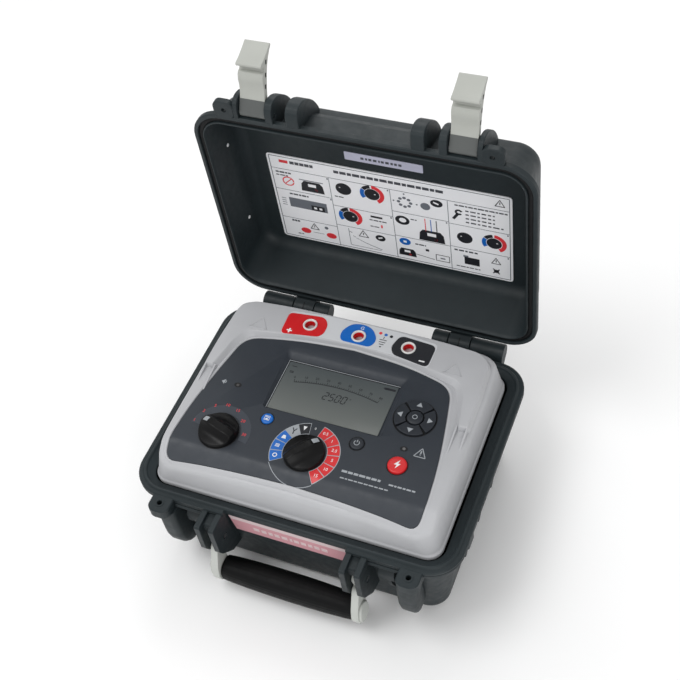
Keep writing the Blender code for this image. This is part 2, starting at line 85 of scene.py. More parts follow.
class Paint:
    """A Principled material whose colour, gloss and relief are all driven by procedural noise."""

    def __init__(self, name, rgb, rough, metallic=0.0):
        self.material = bpy.data.materials.new(name)
        self.material.use_nodes = True
        self.tree = self.material.node_tree
        self.shader = self.tree.nodes["Principled BSDF"]
        self.shader.inputs["Metallic"].default_value = metallic
        self.rgb = rgb
        self.rough = rough
        self.coords = self.node("ShaderNodeTexCoord").outputs["Object"]

    def node(self, kind, **inputs):
        node = self.tree.nodes.new(kind)
        for key, value in inputs.items():
            node.inputs[key].default_value = value
        return node

    def link(self, out, socket):
        self.tree.links.new(out, socket)

    def noise(self, scale, detail=3.0):
        node = self.node("ShaderNodeTexNoise", Scale=scale, Detail=detail)
        self.link(self.coords, node.inputs["Vector"])
        return node.outputs["Fac"]

    def spread(self, factor, low, high):
        """Stretch the middle of a noise over the range from low to high."""
        node = self.node("ShaderNodeMapRange")
        node.inputs["From Min"].default_value = 0.3
        node.inputs["From Max"].default_value = 0.7
        node.inputs["To Min"].default_value = low
        node.inputs["To Max"].default_value = high
        self.link(factor, node.inputs["Value"])
        return node.outputs["Result"]

    def mottle(self, scale, amount):
        mix = self.node("ShaderNodeMix")
        mix.data_type = "RGBA"
        mix.inputs["A"].default_value = tint(self.rgb, 1.0 - amount)
        mix.inputs["B"].default_value = tint(self.rgb, 1.0 + amount)
        self.link(self.spread(self.noise(scale), 0.0, 1.0), mix.inputs["Factor"])
        self.link(mix.outputs["Result"], self.shader.inputs["Base Color"])

    def gloss(self, scale, amount):
        out = self.spread(self.noise(scale), self.rough - amount, self.rough + amount)
        self.link(out, self.shader.inputs["Roughness"])

    def relief(self, layers):
        """Layers of (noise scale, strength, depth in mm), each bump feeding the next."""
        normal = None
        for scale, strength, depth in layers:
            bump = self.node("ShaderNodeBump", Strength=strength, Distance=depth * 0.001)
            self.link(self.noise(scale, 2.0), bump.inputs["Height"])
            if normal is not None:
                self.link(normal, bump.inputs["Normal"])
            normal = bump.outputs["Normal"]
        self.link(normal, self.shader.inputs["Normal"])


def plastic(name, rgb, rough=0.5, grain=0.25, grain_scale=1800.0, mottle=0.06, coat=0.0, shine=0.5):
    """Moulded plastic: fine grain over a slow ripple, with uneven gloss."""
    paint = Paint(name, rgb, rough)
    paint.shader.inputs["Specular IOR Level"].default_value = shine
    paint.mottle(22.0, mottle)
    paint.gloss(160.0, 0.06)
    paint.relief(((grain_scale, grain, 0.12), (60.0, 0.06, 0.3)))
    if coat:
        paint.shader.inputs["Coat Weight"].default_value = coat
        paint.shader.inputs["Coat Roughness"].default_value = 0.08
    return paint.material


def metal(name, rgb, rough):
    paint = Paint(name, rgb, rough, 1.0)
    paint.mottle(90.0, 0.1)
    paint.gloss(400.0, 0.08)
    paint.relief(((1200.0, 0.12, 0.05), (80.0, 0.05, 0.1)))
    return paint.material


CASE = plastic("case_charcoal", (34, 42, 45), 0.5, 0.5, 1500.0, 0.12, shine=0.3)
RIM_DARK = plastic("seal_black", (13, 14, 16), 0.7, 0.3, shine=0.3)
DECK = plastic("deck_grey", (180, 181, 184), 0.46, 0.28, 2400.0, 0.025)
STRIP = plastic("strip_grey", (204, 206, 209), 0.4, 0.05, 2400.0, 0.02)
FILM = plastic("panel_slate", (47, 52, 59), 0.44, 0.3, 3000.0, 0.05, shine=0.35)
FILM_PALE = plastic("panel_slate_pale", (59, 64, 72), 0.44, 0.3, 3000.0, 0.05, shine=0.35)
KEY = plastic("key_slate", (40, 44, 50), 0.45, 0.15, 2600.0, 0.05, shine=0.35)
GAP = plastic("gap_dark", (12, 13, 15), 0.7, 0.1)
KNOB = plastic("knob_black", (8, 8, 9), 0.34, 0.08, 2200.0, 0.1, shine=0.2)
RUBBER = plastic("grip_black", (10, 11, 12), 0.55, 0.5, 1300.0, 0.12, shine=0.15)
LATCH_GREY = plastic("latch_grey", (170, 172, 166), 0.5, 0.3, 1900.0, 0.04)
# Darker grey for the latch roots: painted shade, standing for the shadow on the arm where it drops between
# the housings.
LATCH_ROOT_SHADE = plastic("latch_root", (84, 87, 86), 0.5, 0.3, 1900.0, 0.05)
HANDLE_GREY = plastic("handle_grey", (190, 193, 188), 0.48, 0.3, 1900.0, 0.04)
RED = plastic("signal_red", (205, 22, 28), 0.4, 0.05, 2000.0, 0.05, 0.1)
RED_DEEP = plastic("socket_red", (200, 8, 12), 0.4, 0.05, 2000.0, 0.08, 0.1)
RED_PRINT = plastic("print_red", (222, 52, 60), 0.5, 0.03)
BLUE = plastic("signal_blue", (2, 98, 186), 0.4, 0.05, 2000.0, 0.05, 0.1)
RING = plastic("ring_white", (216, 216, 214), 0.34, 0.05, 2000.0, 0.02, 0.2)
WHITE = plastic("print_white", (232, 233, 234), 0.5, 0.03)
GREY_PRINT = plastic("print_grey", (158, 163, 168), 0.5, 0.03)
PALE_LINE = plastic("print_line", (104, 109, 117), 0.5, 0.03)
WORDS = plastic("print_words", (66, 69, 76), 0.5, 0.03)
DARK_PRINT = plastic("print_dark", (24, 26, 32), 0.5, 0.03)
PAPER = plastic("card_paper", (244, 245, 248), 0.4, 0.06, 900.0, 0.015)
LILAC = plastic("label_lilac", (188, 189, 208), 0.5, 0.05)
PINK = plastic("label_pink", (205, 150, 158), 0.42, 0.08, 900.0, 0.03)
PINK_PALE = plastic("label_pink_pale", (216, 196, 197), 0.42, 0.08, 900.0, 0.03)
LENS = plastic("lens_smoke", (48, 46, 46), 0.2, 0.02, 900.0, 0.05, 0.6)
BOARD = plastic("board_green", (30, 92, 58), 0.4, 0.1)
CELL = plastic("cell_wrap", (40, 62, 104), 0.4, 0.1)
STEEL = metal("steel", (158, 160, 163), 0.34)
BRASS = metal("brass", (196, 166, 96), 0.3)
COPPER = metal("winding_copper", (176, 104, 60), 0.42)


def display_material():
    """Reflective liquid crystal: greenish grey, with painted sheen that makes it paler towards the front
    edge.
    """
    paint = Paint("display_grey", (92, 98, 98), 0.3)
    split = paint.node("ShaderNodeSeparateXYZ")
    paint.link(paint.coords, split.inputs["Vector"])
    # Painted sheen: the base colour gets lighter towards the front, standing for light falling on the
    # glass.
    painted_sheen_ramp = paint.node("ShaderNodeMapRange")
    painted_sheen_ramp.inputs["From Min"].default_value = -0.02
    painted_sheen_ramp.inputs["From Max"].default_value = 0.04
    paint.link(split.outputs["Y"], painted_sheen_ramp.inputs["Value"])
    mix = paint.node("ShaderNodeMix")
    mix.data_type = "RGBA"
    mix.inputs["A"].default_value = tint((108, 112, 109))
    mix.inputs["B"].default_value = tint((76, 82, 84))
    paint.link(painted_sheen_ramp.outputs["Result"], mix.inputs["Factor"])
    paint.link(mix.outputs["Result"], paint.shader.inputs["Base Color"])
    paint.gloss(12.0, 0.03)
    paint.relief(((9.0, 0.02, 0.1),))
    paint.shader.inputs["Coat Weight"].default_value = 0.3
    paint.shader.inputs["Coat Roughness"].default_value = 0.12
    return paint.material


DISPLAY = display_material()

# CAD material slot of each paint whose name is not the slot's own.
SLOTS = {"label_pink_pale": "label_pink", "strip_grey": "deck_grey", "panel_slate": "overlay_slate",
         "panel_slate_pale": "overlay_slate", "key_slate": "knob_black", "gap_dark": "knob_black",
         "print_dark": "knob_black", "seal_black": "rubber_black", "grip_black": "rubber_black",
         "print_white": "ring_white", "print_grey": "ring_white", "print_words": "label_lilac",
         "print_red": "signal_red", "socket_red": "signal_red", "latch_root": "latch_grey"}


# Mesh helpers ------------------------------------------------------------------------------------

def ring(half_x, half_y, radius, z, steps=10, centre=(0.0, 0.0)):
    points = []
    for corner in range(4):
        sx = 1 if corner in (0, 3) else -1
        sy = 1 if corner < 2 else -1
        for step in range(steps + 1):
            angle = math.radians(90 * corner + 90 * step / steps)
            x = centre[0] + sx * (half_x - radius) + radius * math.cos(angle)
            y = centre[1] + sy * (half_y - radius) + radius * math.sin(angle)
            points.append(Vector((x, y, z)))
    return points


def box(x0, x1, y0, y1):
    return [(x0, y0), (x1, y0), (x1, y1), (x0, y1)]


def span(side, near, far):
    """Low and high end of a stretch across the case, on the side given by 1 or -1."""
    return sorted((near * side, far * side))


def circle(radius, z, centre=(0.0, 0.0), count=48):
    turn = 2 * math.pi / count
    return [Vector((centre[0] + radius * math.cos(turn * i), centre[1] + radius * math.sin(turn * i), z))
            for i in range(count)]


def skin(bm, rings, looped=False, low_cap=True, high_cap=True):
    """Join rings of equal count into a closed skin, or into a loop that meets itself."""
    rows = [[bm.verts.new(p) for p in points] for points in rings]
    pairs = list(zip(rows, rows[1:]))
    if looped:
        pairs.append((rows[-1], rows[0]))
    for low, high in pairs:
        for i in range(len(low)):
            j = (i + 1) % len(low)
            bm.faces.new((low[i], low[j], high[j], high[i]))
    if not looped and low_cap:
        bm.faces.new(list(reversed(rows[0])))
    if not looped and high_cap:
        bm.faces.new(rows[-1])
    return bm


def loft(rings, **kw):
    return skin(bmesh.new(), rings, **kw)


def plate(outline, z0, z1, bm=None):
    return skin(bm or bmesh.new(), [[Vector((x, y, z)) for x, y in outline] for z in (z0, z1)])


def bar(profile, x0, x1, bm=None):
    return skin(bm or bmesh.new(), [[Vector((x, y, z)) for y, z in profile] for x in (x0, x1)])


def turned(profile, centre=(0.0, 0.0), count=48, bm=None):
    return skin(bm or bmesh.new(), [circle(r, z, centre, count) for r, z in profile])


def washer(outer, inner, z0, z1, centre=(0.0, 0.0), count=48, bm=None):
    pairs = ((outer, z0), (outer, z1), (inner, z1), (inner, z0))
    return skin(bm or bmesh.new(), [circle(r, z, centre, count) for r, z in pairs], looped=True)


def rod_x(radius, x0, x1, y, z, count=28, bm=None):
    return bar(arc(y, z, radius, 0, 360 - 360 / count, count - 1), x0, x1, bm)


def arc(y, z, radius, start, end, count):
    points = []
    for i in range(count + 1):
        angle = math.radians(start + (end - start) * i / count)
        points.append((y + radius * math.cos(angle), z + radius * math.sin(angle)))
    return points


def filleted(points, radii, steps=6):
    """Closed outline with each corner eased by a curve; radii is one size or one for each corner."""
    if not isinstance(radii, (list, tuple)):
        radii = [radii] * len(points)
    out = []
    for i, corner in enumerate(points):
        here = Vector(corner)
        before = Vector(points[i - 1]) - here
        after = Vector(points[(i + 1) % len(points)]) - here
        reach = min(radii[i], 0.48 * before.length, 0.48 * after.length)
        if reach < 0.05:
            out.append(tuple(here))
            continue
        a = here + before.normalized() * reach
        b = here + after.normalized() * reach
        for k in range(steps + 1):
            t = k / steps
            p = a * (1 - t) ** 2 + here * 2 * t * (1 - t) + b * t * t
            out.append(tuple(p))
    return out


def mirrored(right):
    """Right half of an outline from front centre to back centre, completed on the left."""
    return list(right) + [(-x, y) for x, y in reversed(right) if abs(x) > 1e-6]


def polar(points, centre, count):
    """Radius of a closed outline at evenly spaced angles about a centre inside it."""
    radii = []
    edges = list(zip(points, points[1:] + points[:1]))
    for i in range(count):
        angle = 2 * math.pi * i / count
        dx, dy = math.cos(angle), math.sin(angle)
        best = 0.0
        for (ax, ay), (bx, by) in edges:
            ex, ey = bx - ax, by - ay
            cross = dx * ey - dy * ex
            if abs(cross) < 1e-9:
                continue
            px, py = ax - centre[0], ay - centre[1]
            along = (px * ey - py * ex) / cross
            part = (px * dy - py * dx) / cross
            if along > 0 and -1e-6 <= part <= 1 + 1e-6:
                best = max(best, along)
        radii.append(best)
    return radii


def grown(outline, amount):
    """Outline moved outward along its normals (counter-clockwise outlines)."""
    out = []
    for i, (x, y) in enumerate(outline):
        ax, ay = outline[i - 1]
        bx, by = outline[(i + 1) % len(outline)]
        dx, dy = bx - ax, by - ay
        size = math.hypot(dx, dy) or 1.0
        out.append((x + amount * dy / size, y - amount * dx / size))
    return out


def bend(y):
    """How far the panel surface drops in front of its crease."""
    t = CREASE_Y - y
    return -0.58 * (t + math.sqrt(t * t + 9.0)) / 2.0


def drape(bm):
    for vert in bm.verts:
        vert.co.z += bend(vert.co.y)
    return bm


def moved(bm, x=0.0, y=0.0, z=0.0, spin=0.0):
    place = Matrix.Translation((x, y, z)) @ Matrix.Rotation(math.radians(spin), 4, "Z")
    bmesh.ops.transform(bm, matrix=place, verts=bm.verts)
    return bm


def scratch(bm):
    mesh = bpy.data.meshes.new("work")
    bm.to_mesh(mesh)
    bm.free()
    ob = bpy.data.objects.new("work", mesh)
    bpy.context.scene.collection.objects.link(ob)
    return ob


def carve(bm, others):
    """Cut the other meshes out of the first."""
    body = scratch(bm)
    for other in others:
        bmesh.ops.recalc_face_normals(other, faces=other.faces)
        tool = scratch(other)
        modifier = body.modifiers.new("work", "BOOLEAN")
        modifier.operation = "DIFFERENCE"
        modifier.solver = "EXACT"
        modifier.object = tool
        graph = bpy.context.evaluated_depsgraph_get()
        result = bpy.data.meshes.new_from_object(body.evaluated_get(graph))
        body.modifiers.clear()
        body.data = result
        bpy.data.objects.remove(tool, do_unlink=True)
    out = bmesh.new()
    out.from_mesh(body.data)
    bpy.data.objects.remove(body, do_unlink=True)
    return out


def piece(name, bm, paint, body, swaps=(), bevel=0.0, angle=35.0, steps=2, slot=None):
    """Object in metres that rides on a body and stands for the CAD nodes it names."""
    bmesh.ops.recalc_face_normals(bm, faces=bm.faces)
    if body in TURNS:
        bmesh.ops.transform(bm, matrix=TURNS[body], verts=bm.verts)
    bmesh.ops.translate(bm, vec=(0.0, 0.0, RIM_Z), verts=bm.verts)
    bmesh.ops.scale(bm, vec=(0.001, 0.001, 0.001), verts=bm.verts)
    mesh = bpy.data.meshes.new(name)
    bm.to_mesh(mesh)
    bm.free()
    mesh.materials.append(paint)
    ob = bpy.data.objects.new(name, mesh)
    bpy.context.scene.collection.objects.link(ob)
    mesh.shade_smooth()
    if bevel:
        edges = ob.modifiers.new("edges", "BEVEL")
        edges.width = bevel * 0.001
        edges.segments = steps
        edges.limit_method = "ANGLE"
        edges.angle_limit = math.radians(angle)
        edges.harden_normals = True
    else:
        mesh.set_sharp_from_angle(angle=math.radians(angle))
    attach(ob, body)
    if swaps:
        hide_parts(*swaps)
    named = paint.name.split(".")[0]
    slot or SLOTS.get(named, named)
    return ob


def lettering(bm, text, size, x, y, z, spin=0.0, lift=0.12):
    """Adds flat characters to a print mesh."""
    curve = bpy.data.curves.new("text", "FONT")
    curve.body = text
    curve.size = size
    curve.align_x = "CENTER"
    curve.align_y = "CENTER"
    curve.resolution_u = 2
    curve.extrude = lift / 2
    ob = bpy.data.objects.new("text", curve)
    bpy.context.scene.collection.objects.link(ob)
    graph = bpy.context.evaluated_depsgraph_get()
    mesh = bpy.data.meshes.new_from_object(ob.evaluated_get(graph))
    mesh.transform(Matrix.Translation((x, y, z)) @ Matrix.Rotation(math.radians(spin), 4, "Z"))
    bm.from_mesh(mesh)
    bpy.data.objects.remove(ob, do_unlink=True)
    bpy.data.meshes.remove(mesh)
    return bm


def sector(bm, centre, r0, r1, a0, a1, z0, z1, across=4):
    """Part of a flat ring, cut fine enough to follow the panel's bend."""
    count = max(4, int(abs(a1 - a0) / 4))
    grid = []
    for z in (z0, z1):
        sheet = []
        for i in range(across + 1):
            r = r0 + (r1 - r0) * i / across
            sheet.append([])
            for k in range(count + 1):
                a = math.radians(a0 + (a1 - a0) * k / count)
                sheet[-1].append(bm.verts.new((centre[0] + r * math.cos(a), centre[1] + r * math.sin(a),
                                               z)))
        grid.append(sheet)
    for sheet in grid:
        for i in range(across):
            for k in range(count):
                bm.faces.new((sheet[i][k], sheet[i + 1][k], sheet[i + 1][k + 1], sheet[i][k + 1]))
    low, high = grid
    edge = [(0, k) for k in range(count)] + [(i, count) for i in range(across)]
    edge += [(across, k) for k in range(count, 0, -1)] + [(i, 0) for i in range(across, 0, -1)]
    for (i, k), (m, n) in zip(edge, edge[1:] + edge[:1]):
        bm.faces.new((low[i][k], low[m][n], high[m][n], high[i][k]))
    return bm


def frame_outline(bm, outline, width, z0, z1):
    """Thin raised line round an outline."""
    inner = grown(outline, -width)
    rows = [[Vector((x, y, z)) for x, y in pts] for pts, z in
            ((outline, z0), (outline, z1), (inner, z1), (inner, z0))]
    return skin(bm, rows, looped=True)


def warning_triangle(bm, x, y, size, z, width):
    """Outlined triangle with a generic mark inside."""
    corners = [(x - size / 2, y - size * 0.4), (x + size / 2, y - size * 0.4), (x, y + size * 0.48)]
    top = z + 0.15
    w = size * 0.05
    frame_outline(bm, filleted(corners, size * 0.12, 3), width, z, top)
    plate(box(x - w, x + w, y - size * 0.08, y + size * 0.18), z, top, bm)
    plate(box(x - w, x + w, y - size * 0.2, y - size * 0.13), z, top, bm)


# Case --------------------------------------------------------------------------------------------

def build_case():
    """Tub with its rim, handle ears, latch catches, padlock lugs, hinge barrels and ribs."""
    rows = ((131.5, 92.5, 13.0, -101.0), (136.2, 97.2, 17.0, -100.3), (138.5, 99.5, 19.0, -97.6),
            (139.1, 100.1, 19.3, -94.0), (150.0, 111.0, 24.8, -12.0), (150.8, 111.7, 25.3, -9.0),
            (153.0, 113.9, 27.2, -7.6), (156.5, 117.4, 30.2, -7.2), (157.5, 118.4, 31.0, -6.2),
            (157.5, 118.4, 31.0, -4.2), (156.9, 117.8, 30.5, -3.9), (156.9, 117.8, 30.5, -3.4),
            (157.5, 118.4, 31.0, -3.1), (157.5, 118.4, 31.0, -1.3), (156.5, 117.4, 30.2, -0.3),
            (153.6, 114.5, 27.6, -0.4), (152.9, 113.8, 27.0, 0.5), (152.2, 113.1, 26.4, 1.3),
            (151.2, 112.1, 25.6, 1.6), (150.3, 111.2, 25.0, 1.2), (149.8, 110.7, 24.5, 0.3),
            (148.9, 109.9, 23.6, -0.5), (142.6, 105.5, 17.5, -2.3), (141.4, 104.6, 16.4, -3.2),
            (141.0, 104.2, 16.0, -9.0), (147.0, 108.0, 22.0, -11.0), (136.0, 97.0, 17.0, -96.0),
            (132.0, 93.0, 14.0, -98.0))
    body = loft([ring(*row) for row in rows])
    notch = bar(((-125.0, -9.5), (-125.0, 3.0), (-114.3, 3.0), (-113.6, -9.5)), -59.4, 59.4)
    piece("case_tub", carve(body, [notch]), CASE, "case", ("base_case",))
    ear = ((-109.0, -3.0), (-124.0, -2.2), (-136.6, -2.8), (-138.0, -4.6), (-137.6, -38.0), (-134.0, -46.0),
           (-119.0, -64.0), (-102.5, -70.0))
    for side, tag in ((1, "right"), (-1, "left")):
        for near, far, where in ((60.0, 65.6, "inner"), (74.0, 79.6, "outer")):
            x0, x1 = span(side, near, far)
            plain = bar(ear, x0, x1)
            hole = rod_x(2.9, x0 - 2, x1 + 2, *PIVOT)
            piece(f"handle_ear_{where}_{tag}", carve(plain, [hole]), CASE, "case", bevel=0.6, angle=25,
                  steps=3)
        x0, x1 = span(side, 65.4, 74.2)
        bridge = ((-110.0, -6.4), (-129.4, -6.4), (-131.0, -8.0), (-131.0, -16.6), (-110.0, -16.6))
        piece("handle_ear_bridge_" + tag, bar(bridge, x0, x1), CASE, "case", bevel=0.5)
        shelf = ((-110.0, -7.0), (-119.5, -7.2), (-120.5, -9.0), (-117.5, -13.0), (-110.0, -14.0))
        x0, x1 = span(side, 79.4, 108.5)
        piece("recess_shelf_" + tag, bar(shelf, x0, x1), CASE, "case", bevel=0.6)
        catch = ((-108.8, -15.0), (-112.0, -17.0), (-116.6, -24.0), (-117.0, -28.0), (-117.0, -34.0),
                 (-116.0, -35.4), (-106.0, -35.4))
        x0, x1 = span(side, 86.0, 102.0)
        piece("latch_catch_" + tag, bar(catch, x0, x1), CASE, "case", bevel=0.8, steps=3)
        rib = ((-107.0, -35.0), (-113.5, -37.0), (-112.0, -50.0), (-106.0, -66.0), (-102.0, -68.0))
        x0, x1 = span(side, 92.0, 96.5)
        piece("catch_rib_" + tag, bar(rib, x0, x1), CASE, "case", bevel=0.8)
        rows = []
        for z, half, front, back in ((-11.0, 9.0, -129.5, -106.5), (-34.0, 9.0, -129.5, -105.0),
                                     (-50.0, 9.0, -129.0, -103.6), (-61.0, 8.7, -126.6, -102.6),
                                     (-70.0, 8.0, -122.6, -101.8), (-78.0, 6.8, -117.0, -101.0),
                                     (-84.0, 5.2, -111.4, -100.0), (-88.0, 3.4, -106.6, -98.9)):
            depth = (back - front) / 2
            rows.append(ring(half, depth, min(half, depth) * 0.62, z, 6,
                             (115.8 * side, (front + back) / 2)))
        piece("padlock_fin_" + tag, loft(rows), CASE, "case", angle=60)
        lug = loft([ring(10.5 - i, 13.2 - i, 7.5 - i, z, 8, (119.5 * side, -121.3))
                    for z, i in ((-13.0, 1.2), (-12.0, 0.0), (-2.0, 0.0), (-1.0, 1.0))])
        hole = turned(((2.4, -20.0), (2.4, 3.0)), (PADLOCK[0] * side, PADLOCK[1]), 24)
        piece("padlock_lug_" + tag, carve(lug, [hole]), CASE, "case")
        collar = washer(4.2, 2.5, -1.2, -0.5, (PADLOCK[0] * side, PADLOCK[1]))
        piece("padlock_collar_" + tag, collar, CASE, "case", bevel=0.25)
        liner = turned(((2.35, -12.2), (2.35, -11.6)), (PADLOCK[0] * side, PADLOCK[1]), 24)
        piece("padlock_hole_floor_" + tag, liner, RIM_DARK, "case")
        for x_low, x_high, where in ((55.0, 70.9, "inner"), (94.0, 127.0, "outer")):
            x0, x1 = span(side, x_low, x_high)
            web = arc(*HINGE, BARREL_R, -70, 180, 24) + [(118.0, -6.5), (110.0, -6.5), (107.0, -32.0)]
            piece(f"hinge_barrel_{where}_{tag}", bar(web, x0, x1), CASE, "case", bevel=0.7, angle=40)
        x0, x1 = span(side, 148.0, 157.0)
        pad = loft([ring(4.4 - i, 8.5 - i, 3.0 - i, z, 5, (152.6 * side, -68.5)) for z, i in
                    ((-17.0, 1.0), (-16.0, 0.0), (-7.0, 0.0))])
        piece("side_pad_" + tag, pad, CASE, "case")
        for y in (-40.0, 0.0, 40.0):
            rib = loft([ring(1.3, 2.2, 1.0, z, 3, (x * side, y)) for z,
                        x in ((-8.0, 151.0), (-96.0, 139.5))])
            piece(f"side_rib_{tag}_{int(y + 50)}", rib, CASE, "case")
    foot = plate(filleted(box(-80, 80, -12, 12), 6.0), -105.0, -100.0)
    piece("underside_pad", foot, CASE, "case", bevel=0.8)
    label_plates()


def label_plates():
    """Front label on the sloping wall: pale head band over a tinted field with generic marks."""
    def wall(z):
        return -(112.2 - 2.6 * (-7.0 - z) / 30.0)

    def panel(x_top, x_low, z_top, z_low, out):
        rows = []
        for z, half in ((z_low, x_low), (z_top, x_top)):
            y = wall(z)
            rows.append([Vector((-half, y - 0.2, z)), Vector((half, y - 0.2, z)),
                         Vector((half, y - out, z)), Vector((-half, y - out, z))])
        return loft(rows)

    pad = ((-106.0, -5.0), (-112.2, -5.6), (-109.4, -39.4), (-106.4, -42.0), (-104.0, -42.0))
    piece("label_pad", bar(pad, -59.2, 59.2), CASE, "case", bevel=0.5)
    piece("front_label", panel(58.6, 55.6, -7.0, -37.0, 0.5), PINK, "case", ("front_label_plate",),
          bevel=0.2)
    piece("front_label_band", panel(58.0, 57.0, -7.4, -16.5, 0.62), PINK_PALE, "case")
    marks = bmesh.new()
    x = -36.0
    for width in (7, 6, 5, 6, 7, 3, 6, 6, 5, 6, 7):
        rows = []
        for z in (-29.0, -23.5):
            y = wall(z)
            rows.append([Vector((x, y - 0.4, z)), Vector((x + width * 0.8, y - 0.4, z)),
                         Vector((x + width * 0.8, y - 0.64, z)), Vector((x, y - 0.64, z))])
        skin(marks, rows)
        x += width + 1.0
    piece("front_label_marks", marks, PINK_PALE, "case")


# Deck and panel ----------------------------------------------------------------------------------

PANEL_EDGE = [(0.0, -87.6), (45.0, -88.8), (88.0, -91.5), (118.0, -95.0), (119.6, -74.0), (116.6, -35.0),
              (109.6, 8.0), (101.0, 49.5), (55.0, 61.2), (0.0, 65.0), (-55.0, 61.2), (-106.4, 50.5),
              (-115.0, 8.0), (-122.3, -35.0), (-125.0, -74.0), (-123.2, -95.0), (-90.0, -91.5),
              (-45.0, -88.8)]
PANEL_EASE = [0, 40, 40, 14, 40, 60, 60, 15, 60, 0, 60, 15, 60, 60, 40, 14, 40, 40]


def panel_outline():
    return filleted(PANEL_EDGE, PANEL_EASE, 8)


def build_deck():
    """Console shell: spokes round a centre carry the wall, shoulder, film lip and crown."""
    count = 360
    centre = (0.0, -10.0)
    foot = [(p.x, p.y) for p in ring(139.0, 102.5, 14.0, 0.0, 12, (0.0, -0.5))]
    top_half = [(0.0, -94.0), (60.0, -95.2), (118.0, -98.5), (129.5, -92.0), (131.4, -70.0), (131.4, 60.0),
                (129.0, 90.0), (118.0, 96.0), (60.0, 96.4), (0.0, 96.6)]
    top = filleted(mirrored(top_half), 14.0, 6)
    foot_r = polar(foot, centre, count)
    top_r = polar(top, centre, count)
    film_r = polar(panel_outline(), centre, count)
    rows = []

    def row(radii, height):
        points = []
        for i, r in enumerate(radii):
            angle = 2 * math.pi * i / count
            x, y = centre[0] + r * math.cos(angle), centre[1] + r * math.sin(angle)
            points.append(Vector((x, y, height(i, y))))
        rows.append(points)

    def flat(z):
        return lambda i, y: z

    def crown(drop):
        """Height over the top surface at the shoulder of the same spoke, lowered by drop."""
        def height(i, y):
            edge_y = centre[1] + top_r[i] * math.sin(2 * math.pi * i / count)
            return PANEL_Z - 0.1 + bend(edge_y) - drop
        return height

    def surface(lift):
        return lambda i, y: PANEL_Z - 0.1 + bend(y) + lift

    row(foot_r, flat(-5.0))
    row(foot_r, flat(-1.0))
    row([r - 0.4 for r in foot_r], flat(-0.2))
    row([r - 1.2 for r in foot_r], flat(0.2))
    for part in (0.12, 0.3, 0.5, 0.7):
        mix = [f - 1.4 + (t + 3.4 - f + 1.4) * part for f, t in zip(foot_r, top_r)]
        row(mix, lambda i, y, part=part: 0.4 + (crown(6.0)(i, y) - 0.4) * part)
    for out, drop in ((3.4, 6.0), (2.9, 4.4), (2.1, 2.8), (1.1, 1.5), (-0.2, 0.6), (-1.8, 0.15)):
        row([r + out for r in top_r], crown(drop))
    for out, lift in ((4.6, 0.0), (3.8, 0.25), (3.0, 0.65), (2.2, 0.85), (1.4, 0.8), (0.8, 0.45),
                      (0.5, 0.0), (0.35, -0.9), (-4.0, -1.6)):
        row([min(r + out, t - 2.0) for r, t in zip(film_r, top_r)], surface(lift))
    piece("console_shell", loft(rows, low_cap=False, high_cap=False), DECK, "case", ("deck_panel",),
          angle=50)
    build_hump()
    build_film()


